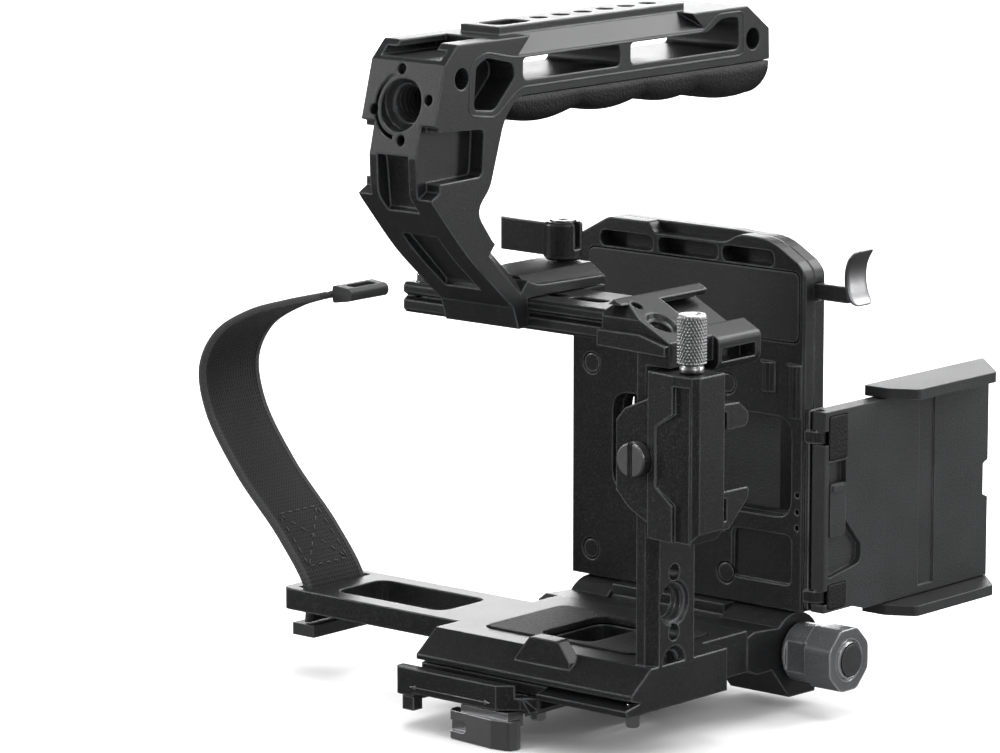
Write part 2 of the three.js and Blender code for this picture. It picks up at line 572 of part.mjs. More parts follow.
// ---------------------------------------------------------------- cable clamp
function cableClamp() {
  const right = clamp.left + clamp.width;
  const block = prism("z", [[clamp.left, clamp.front], [right - 1.4, clamp.front],
      [right, clamp.front + 1.4],
    [right, clamp.back], [clamp.left, clamp.back]], [clamp.low, clamp.high]);
  const ear = prism("y", [[clamp.left + 2, clamp.earLow - 4], [clamp.earLeft + 4, clamp.earLow],
    [clamp.earLeft, clamp.earLow + 4], [clamp.earLeft, clamp.earHigh - 3],
        [clamp.earLeft + 2.6, clamp.earHigh],
    [clamp.left + 2, clamp.earHigh + 4]], [clamp.earFront, -gap]);
  const padRight = clamp.left + clamp.padWidth;
  const floorY = clamp.front + clamp.recessDepth;
  const recess = prism("y", [[clamp.left + 2.6, 44.4], [padRight, 40.6], [padRight + 1, 40.6],
    [padRight + 1, 62.4], [padRight, 62.4], [clamp.left + 2.6, 58.8]], [clamp.front - 1, floorY]);
  const groove = box([padRight, right - 2.2], [clamp.front - 1, floorY], [clamp.low - 1, clamp.high - 2.6]);
  const padCut = prism("z", [[clamp.left - 1, clamp.front - 1], [padRight, clamp.front - 1],
    [padRight, clamp.front], [clamp.left, clamp.front + clamp.padSlope],
    [clamp.left - 1, clamp.front + clamp.padSlope]], [clamp.low - 1, clamp.high + 1]);
  const lowCorner = prism("y", [[right - 3, clamp.low - 1], [right + 1, clamp.low + 4],
      [right + 1, clamp.low - 1]],
    [clamp.front - 1, clamp.back + 1]);
  const spindleBore = rod("z", clamp.screwX, clamp.screwY, clamp.spindle + 0.35,
      [clamp.low + 8, clamp.high + 1]);
  const channel = box([clamp.screwX - 3.2, clamp.screwX + 3.2], [clamp.screwY - 2.7, clamp.back + 1],
      [53.4, 67.4]);
  const coinHole = rod("y", clamp.coinX, clamp.coinZ, clamp.coinShank + 0.4, [clamp.front - 1, 1], 16);
  const jawHole = rod("y", clamp.screwX - 3, 38.5, 1.3, [clamp.back - 5, clamp.back + 1], 14);
  const coinRoom = rod("y", clamp.coinX, clamp.coinZ, clamp.coin + gap, [clamp.front - 1, clamp.earFront], 24);
  const cutBlock = without(block, recess, groove, padCut, lowCorner, coinRoom);
  const body = without(union(cutBlock, ear), spindleBore, channel, coinHole, jawHole);
  part("cable_clamp_body", body.translate(0, 0, clampLift), blackAnodised());
}

function cableJaws() {
  const across = [clamp.left + 3, clamp.left + 13];
  const start = clamp.back + gap;
  const hook = [[start, 61.6], [start, 63.6, 0.5], [15.4, 63.2], [19, 60.6, 1.2], [19, 58.2, 1],
      [17.6, 57.2],
    [11, 57.2], [11, 61.6]];
  const carriage = box([clamp.screwX - 2.8, clamp.screwX + 2.8], [clamp.screwY - 2.4, start + 2],
      [57.6, 63.2]);
  const bore = rod("z", clamp.screwX, clamp.screwY, clamp.spindle + 0.05, [50, 70]);
  const upper = union(prism("x", hook, across), carriage).subtract(bore);
  part("upper_cable_jaw", upper.translate(0, 0, clampLift), blackAnodised());
  const gusset = [[start, 42.6], [19.3, 42.4, 0.8], [19.3, 40, 1.4], [12, 33.4], [start, 32.8]];
  const gate = box([clamp.left - 1, clamp.left + 20], [start + 0.9, 11], [35.4, 40.8]);
  const screwRoom = rod("y", clamp.screwX - 3, 38.5, 1, [start - 1, start + 3], 14);
  const lower = without(prism("x", gusset, across), gate, screwRoom);
  part("lower_cable_jaw", lower.translate(0, 0, clampLift), blackAnodised());
}

function clampScrews() {
  const z = clamp.high + gap;
  const r = clamp.head;
  const grooves = Array.from({ length: 5 }, (_, i) => {
    const low = z + 2.8 + i * 2.1;
    return [[r, low], [r - 0.3, low + 0.4], [r, low + 0.8]];
  }).flat();
  const collar = r - 0.7;
  const top = z + clamp.headHeight + 2;
  const screw = turned("z", clamp.screwX, clamp.screwY, [[0, clamp.low + 9], [clamp.spindle, clamp.low + 9],
    [clamp.spindle, z], [collar, z], [collar, z + 1.4], [collar - 0.4, z + 1.5], [collar - 0.4, z + 1.9],
    [r - 0.3, z + 2], ...grooves, [r, top - 0.5], [r - 0.5, top], [0, top]], 20);
  part("thumbscrew", screw.translate(0, 0, clampLift), steel());
  const shank = clamp.coinShank;
  const head = turned("y", clamp.coinX, clamp.coinZ, [[0, clamp.earFront - 3.3],
    [clamp.coin - 0.4, clamp.earFront - 3.3], [clamp.coin, clamp.earFront - 2.9],
    [clamp.coin, clamp.earFront - gap], [shank, clamp.earFront - gap], [shank, 9], [0, 9]]);
  const slot = box([clamp.coinX - 0.8, clamp.coinX + 0.8], [clamp.earFront - 5, clamp.earFront - 2],
    [clamp.coinZ - 6, clamp.coinZ + 6]);
  part("coin_screw", head.subtract(slot).translate(0, 0, clampLift), steel());
}

// ---------------------------------------------------------------- battery plate
function plateOutline(middle) {
  const c = plate.corner;
  const left = plateLeft;
  const right = plate.right;
  const top = plate.high;
  const sag = middle ? 2.7 : 0;
  return [
    [right, plate.low], [right, top - c + 1, 2], [right - 2.4, top - c + 3.4],
        [right - c - 2, top - 0.5, 4],
    [right - c - 12, top - 0.3, 3], [right - c - 15.6, top - sag, 2], [left + 26, top - sag, 1],
    [left + 24.6, top, 1],
    [left + 11.4, top, 1], [left + 1.4, top - 5.4], [left, top - c + 1, 1], [left, plate.low],
  ];
}

function plateWindow(depth) {
  return prism("y", rectangle([plateLeft + 13, plate.right - 3.6], [plate.windowLow, plate.windowHigh], 5),
      depth);
}

function plateScrewPlaces() {
  return [[plateLeft + 6, 56], [plateLeft + 6, 8], [plate.right - 24, 56], [plate.right - 24, 8]];
}

function plateFrame() {
  const depth = [plate.front, plate.front + plate.layer];
  const through = [plate.front - 1, plate.front + plate.layer + 1];
  const slots = plate.slots.map((span) => prism("y",
    rectangle(span.map((share) => plateLeft + share * plate.width),
      [plate.high - 7.4, plate.high - 7.4 + plate.slotHeight], 1.8), through));
  const panelRoom = prism("y", rectangle([plateLeft + 5, plate.right - 1.5],
      [plate.panelLow, plate.panelHigh], 2),
    [plate.front - 1, plate.front + 2.4]);
  const dots = [30.5, 26.2, 22.2].map((z) => rod("y", plate.right - 1.8, z, 0.7, through, 12));
  const screws = plateScrewPlaces().map(([x, z]) => turned("y", x, z,
      [[0, plate.front - 1], [2.9, plate.front - 1],
    [2.9, plate.front + 0.2], [1.8, plate.front + 1.6], [1.8, plate.front + 6], [0, plate.front + 6]], 16));
  const recess = prism("y", rectangle([plate.right - 22, plate.right - 3.4], [7.4, 20], 2),
    [plate.front - 1, plate.front + 1]);
  const ribs = [[-10.5, 55.6], [-2.2, 49.7]].map(([x, z]) => rod("z", x, plate.front + 0.6, 2.3, [z, 63],
      14));
  const edge = prism("z", [[plate.right + 1, plate.front - 1], [plate.right - 1.4, plate.front - 1],
    [plate.right + 1, plate.front + 1.6]], [0, 100]);
  const body = without(prism("y", plateOutline(true), depth), plateWindow(through), ...slots, panelRoom,
      ...dots,
    ...screws, recess, edge);
  const ribRoom = box([-40, plate.right], [plate.front - 3, plate.front + 3], [40, 70]);
  const lowerRibs = ribs.map((rib) => rib.intersect(ribRoom));
  part("plate_frame", union(body, ...lowerRibs), blackAnodised());
  part("front_panel", prism("y", rectangle([plateLeft + 5 + gap, plate.right - 1.5 - gap],
    [plate.panelLow + gap, plate.panelHigh - gap], 2), [plate.front - 0.2, plate.front + 2.4 - gap]),
        darkPanel());
}

function plateBackLayer() {
  const depth = [plateBack, plateRear];
  const through = [plateBack - 1, plateRear + 1];
  const layer = prism("y", plateOutline(false), depth);
  const channel = box([latch.left - 5, plate.right + 1], [plateBack - 1, plateBack + 2.7],
    [paddle.z - 2.3, paddle.z + 2.3]);
  const latchRoom = box([latch.left - gap, latch.right + gap], through, [latchLow, latch.high + gap]);
  const wedgeRoom = box([latch.left - gap, latch.right + gap], [plateBack - 1, plateBack + 2.7],
    [latchLow, paddle.z + 2.3]);
  const web = box([tilt.earLeft + gap, tilt.earRight - tilt.ear - gap], [tiltY - 5.3, plateRear],
    [tilt.z, plate.low - gap]);
  const link = box([tilt.earLeft + gap, tilt.earRight - tilt.ear - gap], depth, [0, plate.low + 1]);
  const knuckle = rod("x", tiltY, tilt.z, tilt.knuckle,
      [tilt.earLeft + gap, tilt.earRight - tilt.ear - gap], 28);
  const bore = rod("x", tiltY, tilt.z, tilt.pin + gap, [-80, 10], 20);
  const taps = plateScrewPlaces().map(([x, z]) => rod("y", x, z, 1.8, through, 16));
  part("plate_back", without(union(layer, web, link, knuckle), plateWindow(through), channel, latchRoom,
      wedgeRoom,
    bore, ...taps), blackAnodised());
  plateScrewPlaces().forEach(([x, z], i) => part(`plate_screw_${i + 1}`,
      turned("y", x, z, [[0, plate.front + 0.3],
    [2.5, plate.front + 0.3], [1.4, plate.front + 1.6], [1.4, plateRear - 0.5], [0, plateRear - 0.5]], 16),
        blackSteel()));
}

// The paddle pushes a flat arm towards the middle; its end works the latch that holds the battery.
function releasePaddle() {
  const depth = [plateBack + gap, plateBack + 2.4];
  const [low, high] = [paddle.z - paddle.arm / 2, paddle.z + paddle.arm / 2];
  const ramp = latch.left + 2.6; // the arm's slanting end starts here and faces the latch's own slope
  const arm = prism("y", [[ramp, high], [ramp + paddle.arm, low], [plate.right + paddle.reach - 0.2, low],
    [plate.right + paddle.reach - 0.2, high]], depth);
  const x = plate.right + paddle.reach;
  const half = paddle.height / 2;
  const z = paddle.z + 4.6;
  const bow = [[x + 2.6, z - half], [x + 0.6, z - half * 0.55], [x, z], [x + 0.8, z + half * 0.6],
    [x + 3, z + half]];
  const outer = new THREE.CatmullRomCurve3(bow.map(([u, v]) => new THREE.Vector3(u, v, 0))).getPoints(10);
  const inner = outer.map((p) => [p.x + paddle.thick, p.y]).reverse();
  const blade = prism("y", [...outer.map((p) => [p.x, p.y]), ...inner],
      [plateBack - 2, plateBack - 2 + paddle.width]);
  part("paddle_arm", arm, blackSteel());
  const armRoom = box([x - 9, x + 0.1], [plateBack - 8, plateBack + 12], [z - 20, z + 20]);
  part("release_paddle", blade.subtract(armRoom), steel());
  const slope = ramp - 0.5 + high;
  const slide = prism("y", [[latch.left, latch.low], [latch.right, latch.low],
    [latch.right, slope - latch.right], [slope - high, high], [latch.left, high]], depth);
  const tongue = prism("x", [[depth[0] + 1, latch.low], [plateRear + 8, latch.low],
      [plateRear + 8, latch.low + 1],
    [plateRear + 5, latch.high], [depth[0] + 1, latch.high]], [latch.left, latch.right]);
  part("battery_latch", slide.add(tongue), steel());
}

function batteryReceiver() {
  const middle = plateLeft + plate.width / 2;
  const half = receiver.width / 2;
  const y = [plateRear + gap, plateRear + gap + receiver.thick];
  const body = prism("y", rectangle([middle - half, middle + half], [receiver.low, receiver.high], 3), y);
  const wedge = prism("y", [[middle - 13.5, receiver.high + 1], [middle - 9.5, 40, 2],
      [middle + 9.5, 40, 2],
    [middle + 13.5, receiver.high + 1]], [y[1] - 3.4, y[1] + 1]);
  const undercut = prism("y", [[middle - 15.5, receiver.high + 1], [middle - 11.5, 38, 2],
      [middle + 11.5, 38, 2],
    [middle + 15.5, receiver.high + 1]], [y[1] - 3.4, y[1] - 1.6]);
  const blockRoom = box([middle - 10, middle + 10], [y[1] - 3, y[1] + 1], [20, 34]);
  const latchRoom = box([latch.left - gap, latch.right + gap], [y[0] - 1, y[1] + 1],
    [latchLow, latch.high + gap]);
  part("battery_receiver", without(body, wedge, undercut, blockRoom, latchRoom), plastic());
  const blades = [-6, -2, 2, 6].map((dx) => box([middle + dx - 0.5, middle + dx + 0.5],
      [y[1] + 0.5, y[1] + 3],
    [22, 32]));
  const block = box([middle - 9.7, middle + 9.7], [y[1] - 2.7, y[1] + 0.2], [20.3, 33.7]);
  part("contact_block", block, plastic());
  const strip = box([middle - 6.5, middle + 6.5], [y[1] + 0.5, y[1] + 1.1], [22, 24]);
  part("contact_blades", union(strip, ...blades), brass());
}

// ---------------------------------------------------------------- tilt hinge
function hingeEar(span) {
  const y = tiltY;
  const cheek = prism("x", [[y - 10.2, -1.9], [y - 10.2, -11.9], [y - 2.7, -20.4], [y + 7.6, -20.6],
    [y + 9.4, -12], [y + 4.1, -3]], span);
  return cheek.add(rod("x", tiltY, tilt.z, tilt.boss, span, 32));
}

function tiltHinge() {
  const right = [tilt.earRight - tilt.ear, tilt.earRight];
  const left = [tilt.earLeft - 12, tilt.earLeft];
  const [front, rear] = [hingeFront, tiltY - 9.3];
  const beam = prism("x", [[front, -10.8], [front, -2.4], [front + 2.7, -1.4], [rear, -1.9], [rear, -12.4],
    [front + 3.7, -12.4]], [left[0], right[1]]);
  const bore = rod("x", tiltY, tilt.z, tilt.pin + gap, [-80, 10], 20);
  const screws = [-52, -20].map((x) => rod("y", x, -5.8, 2.3, [front - 1, rear + 1], 16));
  part("hinge_base", without(union(beam, hingeEar(right), hingeEar(left)), bore, ...screws),
      blackAnodised());
  part("tilt_pin", rod("x", tiltY, tilt.z, tilt.pin, [left[0] + 1, 4.5], 20), steel());
}

function tiltKnob() {
  const start = tilt.earRight + gap;
  const end = start + knob.length;
  const step = start + 7.4;
  const neck = turned("x", tiltY, tilt.z, [[0, start], [knob.body - 0.8, start], [knob.body, start + 1],
    [knob.body, step + 0.5], [0, step + 0.5]]);
  const lobes = Array.from({ length: 8 }, (_, i) => {
    const turn = (i / 8) * Math.PI * 2 + Math.PI / 8;
    return [tiltY + knob.grip * Math.cos(turn), tilt.z + knob.grip * Math.sin(turn), 1.2];
  });
  const head = prism("x", lobes, [step, end]);
  const flat = box([start + 1.6, step + 0.6], [tiltY - 12, tiltY - knob.body + 1.1],
      [tilt.z - 4, tilt.z + 4]);
  const ribs = [0, 1, 2].map((i) => rod("x", tiltY - 2 + 2 * i, tilt.z + knob.grip, 0.7,
    [step + 1.6, end - 1.4], 8));
  const rimCut = turned("x", tiltY, tilt.z, [[0, end - 0.6], [knob.ring, end - 0.6], [knob.ring, end + 1],
    [0, end + 1]]);
  const ring = turned("x", tiltY, tilt.z, [[0, end - 1], [knob.ring - 0.5, end - 1],
      [knob.ring - 0.9, end + 0.7],
    [0, end + 0.7]]);
  const capRoom = rod("x", tiltY, tilt.z, knob.cap + gap, [end - 0.9, end + 2], 24);
  const bore = rod("x", tiltY, tilt.z, tilt.pin + gap, [start - 1, 6.6 + gap], 20);
  const grip = without(union(neck, head), flat, rimCut);
  part("tilt_knob", without(union(grip, ring), ...ribs, capRoom, bore), greyMetal());
  part("knob_cap", rod("x", tiltY, tilt.z, knob.cap, [end - 0.6, end + 1], 24), plastic());
}

// ---------------------------------------------------------------- screen hood
function hoodLugs() {
  return [[hood.pinZ, hood.pinZ + 3], [hood.high - 8, hood.high - 5]];
}

function hoodHinge() {
  const leafX = [plate.right + gap, hood.inner - gap];
  const leaf = prism("x", rectangle([plate.front + 0.6, plateRear - 0.4], [plate.low + 0.4, hood.high], 1),
      leafX);
  const lugs = hoodLugs().map((z) => prism("z", [[leafX[0], hoodPin.y - 2.2],
      [hoodPin.x, hoodPin.y - 2.2, 1],
    [hoodPin.x + 2.2, hoodPin.y, 2], [hoodPin.x, hoodPin.y + 2.2, 1], [leafX[0], hoodPin.y + 2.2]], z));
  const bore = rod("z", hoodPin.x, hoodPin.y, hood.pin + 0.05, [-5, 60], 16);
  part("hood_hinge_leaf", without(union(leaf, ...lugs), bore), blackSteel());
  part("hood_pin", rod("z", hoodPin.x, hoodPin.y, hood.pin, [hood.low + 1.2, hood.high - 1.4], 16),
      steel());
}

function hoodPanel() {
  const x = [hood.inner, hoodOut];
  const back = plate.front + hood.length;
  const front = hoodFront;
  const plan = [[x[0], front, 1.6], [x[1], front, 0.6], [x[1], back], [x[0], back + 4]];
  const body = prism("z", plan, [hood.low, hood.high]);
  const lugRoom = hoodLugs().map((z) => box([x[0] - 1, x[1] + 1], [front - 1, hoodPin.y + 2.8],
    [z[0] - gap, z[1] + gap]));
  const pinRoom = rod("z", hoodPin.x, hoodPin.y, hood.pin + gap, [hood.low + 0.9, hood.high + 1], 16);
  const pad = (z) => prism("x", rectangle([front + 1.4, front + 9.2], z, 1), [x[1] - 0.6, x[1] + 1]);
  const window = box([x[1] - 1.7, x[1] + 1], [front + 1.6, front + 8.6], [19.6, 39.2]);
  const flareRoom = prism("x", [[front + 1.6, 10.2, 1], [front + 15, 12.4, 2], [front + 15, 17],
      [front + 8.6, 24],
    [front + 8.6, 30], [front + 1.6, 30]], [x[1] - 1.7, x[1] + 1]);
  const band = box([x[1] - 0.5, x[1] + 1], [plate.front + 39.5, plate.front + 46],
      [hood.low + 2, hood.high + 1]);
  const notch = prism("x", [[back - 2, 21.5], [back + 6, 18], [back + 6, 33], [back - 2, 29.5]],
      [x[0] - 1, x[1] + 1]);
  const lower = prism("x", [[front + 20, hood.low - 1], [front + 12, hood.low + 1.4],
      [front - 2, hood.low + 1.4],
    [front - 2, hood.low - 1]], [x[0] - 1, x[1] + 1]);
  part("hood_panel", without(body, ...lugRoom, pinRoom, pad([39.6, 51]), pad([hood.low + 1.8, 8.8]), window,
    flareRoom, band, notch, lower), plastic());
  part("hood_pad_upper", prism("x", rectangle([front + 1.7, front + 8.9], [39.9, 50.7], 1),
    [x[1] - 0.3, x[1] + 0.2]), rubber());
  part("hood_pad_lower", prism("x", rectangle([front + 1.7, front + 8.9], [hood.low + 2.1, 8.5], 1),
    [x[1] - 0.3, x[1] + 0.2]), rubber());
  part("hood_slider", union(
    prism("x", rectangle([front + 2, front + 8.2], [20.6, 33.8], 0.8), [x[1] - 1.4, x[1] + 0.3]),
    prism("x", rectangle([front + 2.6, front + 7.6], [31.8, 33.4], 0.4), [x[1] - 1, x[1] + 0.9]),
  ), plastic());
}

function hoodFlanges() {
  const back = plate.front + hood.length;
  const out = hoodOut + hood.flangeOut;
  const inner = hood.inner - 1.8;
  const front = hoodFront + hood.flangeStart;
  const taper = hood.flangeTaper;
  const plan = [[inner, front, 1], [hoodOut + 1, front, 1], [out, front + taper, 1],
    [out, back - hood.flangeOut, 1], [inner, back + (hoodOut - inner), 1]];
  const thick = hood.flangeThick;
  part("hood_top_flange", prism("z", plan, [hood.high + gap, hood.high + gap + thick]), plastic());
  part("hood_bottom_flange", prism("z", plan, [hood.low - gap - thick, hood.low - gap]), plastic());
}

// ---------------------------------------------------------------- quick-release plate
function releasePlate() {
  const back = release.front + release.depth;
  const low = releaseLow;
  const dovetail = [[release.left, low + 1.6], [release.left + 2.4, low], [release.right - 2.4, low],
    [release.right, low + 1.6], [release.right - 2.6, releaseTop], [release.left + 2.6, releaseTop]];
  const body = prism("y", dovetail, [release.front + 4, back]);
  const nosePlan = [[release.left + 2, release.front, 2], [release.right - release.lip, release.front],
    [release.right, release.front + release.lip], [release.right, release.front + 8],
    [release.left + 2, release.front + 8]];
  const nose = prism("z", nosePlan, [low + 1.2, releaseTop + 0.1]);
  const step = prism("z", [[release.left + 2, release.front, 2],
      [release.right - release.lip, release.front],
    [release.right, release.front + release.lip - 0.6], [release.right, -cage.ledge + 1],
    [release.left + 2, -cage.ledge + 1]], [low + 1.2, -release.nose]);
  const stepCut = box([release.left - 2, release.right + 3], [-cage.ledge - 3, 0], [releaseTop, 0]);
  const middle = releaseMiddle;
  const screws = releaseScrews.map((y) => turned("z", middle, y,
      [[0, low - 1], [5.2, low - 1], [5.2, low + 2.4],
    [3.4, low + 2.4], [3.4, releaseTop + 1], [0, releaseTop + 1]]));
  const noseScrew = rod("z", release.right - 5, release.front + 6.4, 1.6, [low - 1, 0], 14);
  const leverRoom = box([lock.left - 11, lock.right + 0.4], [release.front - 1, release.front + 8],
    [low - 1, low + 1.9]);
  const pinRoom = rod("z", release.right - dropPin.inset, release.front + dropPin.back,
      dropPin.radius + gap,
    [low - 1, releaseTop + 1], 16);
  part("release_plate", without(union(body, nose, step.subtract(stepCut)), ...screws, noseScrew, leverRoom,
      pinRoom),
    blackAnodised());
  releaseScrews.forEach((y, i) => part(`release_screw_${i + 1}`,
      without(turned("z", middle, y, [[0, low + 0.5],
    [4.8, low + 0.5], [4.8, low + 2.1], [3.05, low + 2.1], [3.05, releaseTop + gap + 4],
        [0, releaseTop + gap + 4]]),
  box([middle - 7, middle + 7], [y - 0.8, y + 0.8], [low, low + 1.5])), steel()));
}

function lockLever() {
  const low = releaseLow;
  const y = release.front + 0.2;
  const tongue = box([lock.left + 4, lock.right - 2], [y + 0.4, y + 6], [low - 2.4, low + 1.5]);
  const face = prism("z", [[lock.left, y + 1.8], [lock.left + 1, y], [lock.right - 6, y - 1.4],
    [lock.right - 0.8, y - 0.6, 0.8], [lock.right, y + 2.2, 0.8], [lock.right - 0.8, y + lock.thick],
    [lock.left, y + lock.thick]], [low - lock.drop, low - gap]);
  const scoop = prism("y", rectangle([lock.left - 2, lock.left + 6.4], [low - lock.drop + 1.8, low - 2.6],
      1.6),
    [y - 3, y + 1.6]);
  part("lock_lever", union(face.subtract(scoop), tongue), steel());
  part("lock_stop", box([lock.left - 11 - gap - lock.stop, lock.left - 11 - gap], [y + 0.4, y + lock.stop],
    [low - 2.6, low + 1.2 - gap]), blackSteel());
  const r = dropPin.radius;
  part("safety_pin", turned("z", release.right - dropPin.inset, release.front + dropPin.back,
      [[0, low - 2.6],
    [r - 0.3, low - 2.6], [r, low - 2.2], [r, low + 2.4], [0, low + 2.4]], 20), chrome());
}

// ---------------------------------------------------------------- hand strap
function handStrap() {
  const x = strap.slotX;
  const top = railLow - strap.belowRail;
  const middle = strap.bulge;
  const path = [[x, baseTop - 9], [x, baseTop - 1], [x - 9, top - 64], [x - 24, top - 49],
      [middle + 2, top - 34],
    [middle, top - 23], [middle + 5, top - 14], [middle + 16, top - 7.4], [middle + 30, top - 3],
        [middle + 42, top]];
  const curve = new THREE.CatmullRomCurve3(path.map(([u, v]) => new THREE.Vector3(u, 0, v)), false,
      "centripetal");
  const steps = 40;
  const sides = [[], []];
  for (let i = 0; i <= steps; i += 1) {
    const p = curve.getPoint(i / steps);
    const t = curve.getTangent(i / steps);
    const off = strap.thick / 2;
    sides[0].push([p.x - t.z * off, p.z + t.x * off]);
    sides[1].unshift([p.x + t.z * off, p.z - t.x * off]);
  }
  const band = prism("y", [...sides[0], ...sides[1]], [strap.y, strap.y + strap.width]);
  part("hand_strap", band, webbing());
  const end = path[path.length - 1];
  const ring = prism("y", [[end[0] + 0.6, end[1] - 2.2, 1], [end[0] + 7, end[1] - 1.2, 1.6],
    [end[0] + 7, end[1] + 1.8, 1.6], [end[0] + 0.6, end[1] + 2.4, 1]],
        [strap.y + 4, strap.y + strap.width - 4]);
  const eye = prism("z", rectangle([end[0] + 2.4, end[0] + 5.4],
    [strap.y + 6.4, strap.y + strap.width - 6.4], 1.2), [end[1] - 15, end[1] + 15]);
  part("strap_link", ring.subtract(eye), plastic());
  part("strap_stop", box([x - 3.6, x + 3.6], [strap.y - 1, strap.y + strap.width + 1],
    [baseTop - 12.4, baseTop - 9.3]), plastic());
}

cageFrame();
badgePlate();
cageSmallParts();
handleBody();
handleGrip();
handleClamp();
cableClamp();
cableJaws();
clampScrews();
plateFrame();
plateBackLayer();
releasePaddle();
batteryReceiver();
tiltHinge();
tiltKnob();
hoodHinge();
hoodPanel();
hoodFlanges();
releasePlate();
lockLever();
handStrap();

layout.position.set(-releaseMiddle, -(release.front + 4 + release.depth / 2 - 2), -releaseLow);

export default rig;
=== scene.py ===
# %% [markdown]
# # A camera rig: finishes and fine pieces
# The rig is a machined half cage with a top handle, a cable clamp, a tilting battery plate, a screen hood,
# a quick-release plate and a hand strap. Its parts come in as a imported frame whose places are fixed.
# Modelling them again by hand would only bring in errors of fit, so this lesson keeps them, gives each its
# finish, and adds the pieces too fine for a machining model: threads, knurling, webbing and stitches.

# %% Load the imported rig
import json
import math

import bmesh
import bpy
import numpy as np
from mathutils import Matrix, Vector


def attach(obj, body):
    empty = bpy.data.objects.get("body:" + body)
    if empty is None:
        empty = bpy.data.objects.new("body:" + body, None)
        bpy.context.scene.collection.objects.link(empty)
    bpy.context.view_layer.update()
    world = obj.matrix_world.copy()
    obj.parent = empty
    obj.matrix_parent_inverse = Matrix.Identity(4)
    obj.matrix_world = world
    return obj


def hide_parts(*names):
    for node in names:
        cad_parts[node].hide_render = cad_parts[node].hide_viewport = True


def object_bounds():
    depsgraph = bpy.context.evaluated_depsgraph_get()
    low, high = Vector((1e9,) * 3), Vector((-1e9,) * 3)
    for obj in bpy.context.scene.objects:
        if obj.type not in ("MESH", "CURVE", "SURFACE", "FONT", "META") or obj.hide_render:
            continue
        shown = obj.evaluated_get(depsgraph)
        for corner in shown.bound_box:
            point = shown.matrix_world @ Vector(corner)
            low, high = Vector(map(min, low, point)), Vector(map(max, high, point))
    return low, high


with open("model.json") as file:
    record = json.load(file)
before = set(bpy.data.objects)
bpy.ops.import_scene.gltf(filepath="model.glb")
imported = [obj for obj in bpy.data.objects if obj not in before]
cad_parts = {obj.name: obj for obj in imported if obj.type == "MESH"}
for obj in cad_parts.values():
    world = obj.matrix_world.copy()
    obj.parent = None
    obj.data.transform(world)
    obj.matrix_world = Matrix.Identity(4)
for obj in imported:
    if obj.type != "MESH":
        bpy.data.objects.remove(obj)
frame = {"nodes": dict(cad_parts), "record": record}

cad_box = [list(corner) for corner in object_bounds()]
nodes = frame["nodes"]
MM = 0.001
# The machining drawing has its zero at the camera body's lower front edge; the rig's own origin is
# the middle of the quick-release plate's underside.
DRAWING_ORIGIN = np.array([45.0, -14.0, 16.0])


def place(points):
    """Drawing millimetres to metres in the rig's frame: add the drawing's origin, then divide by 1000."""
    return (np.asarray(points, float) + DRAWING_ORIGIN) * MM


print("parts", len(nodes), "box", [[round(v, 4) for v in corner] for corner in cad_box])

# %% [markdown]
# ## Camera
# A long lens from a little above keeps the rig's edges nearly parallel. It could be aimed with a Track To
# constraint, but a direction worked out from two angles says plainly which way it looks.

# %% Camera
AZIMUTH = math.radians(40.7)
ELEVATION = math.radians(10.3)
LENS_MM = 189.72
CAMERA_PLACE = (0.8168, -0.9602, 0.30706)
camera = bpy.data.objects.new("camera", bpy.data.cameras.new("camera"))
bpy.context.scene.collection.objects.link(camera)
camera.data.lens = LENS_MM
camera.data.sensor_width = 36
camera.location = CAMERA_PLACE
gaze = Vector((-math.sin(AZIMUTH) * math.cos(ELEVATION), math.cos(AZIMUTH) * math.cos(ELEVATION),
               -math.sin(ELEVATION)))
camera.rotation_mode = "QUATERNION"
camera.rotation_quaternion = gaze.to_track_quat("-Z", "Y")
bpy.context.scene.camera = camera
print("camera stands", round(camera.location.length, 3), "m from the origin")

# %% [markdown]
# ## Shader arithmetic
# A finish is a sum of small patterns. Wiring each by hand in the node editor hides the formula, so one class
# wraps a socket and lets ordinary arithmetic add the Math nodes, and one method makes every other node.


# %% Wires and finishes
BEVEL_SAMPLES = 6
# One less the cosine of the rounded normal's turn: where an edge begins to show, and where it is a full edge.
EDGE_TURN = (0.004, 0.1)
# Edge wear and painted edge highlight: how many clouds to a metre break it up, and the least share left on
# any edge.
WEAR_AND_HIGHLIGHT_SCALE = 90
LEAST_WEAR_AND_HIGHLIGHT = 0.45


class Wire:
    """A value in a finish: one output socket. Arithmetic on it adds Math nodes."""

    def __init__(self, finish, socket):
        self.finish = finish
        self.socket = socket

    def math(self, operation, *others):
        return self.finish.node("Math", {"operation": operation}, [self, *others])

    def __add__(self, other):
        return self.math("ADD", other)

    __radd__ = __add__

    def __sub__(self, other):
        return self.math("SUBTRACT", other)

    def __rsub__(self, other):
        return self.finish.node("Math", {"operation": "SUBTRACT"}, [other, self])

    def __mul__(self, other):
        return self.math("MULTIPLY", other)

    __rmul__ = __mul__

    def between(self, low, high):
        """0 up to low, 1 from high, and straight between them."""
        return self.finish.node("MapRange", {}, {"Value": self, "From Min": low, "From Max": high})


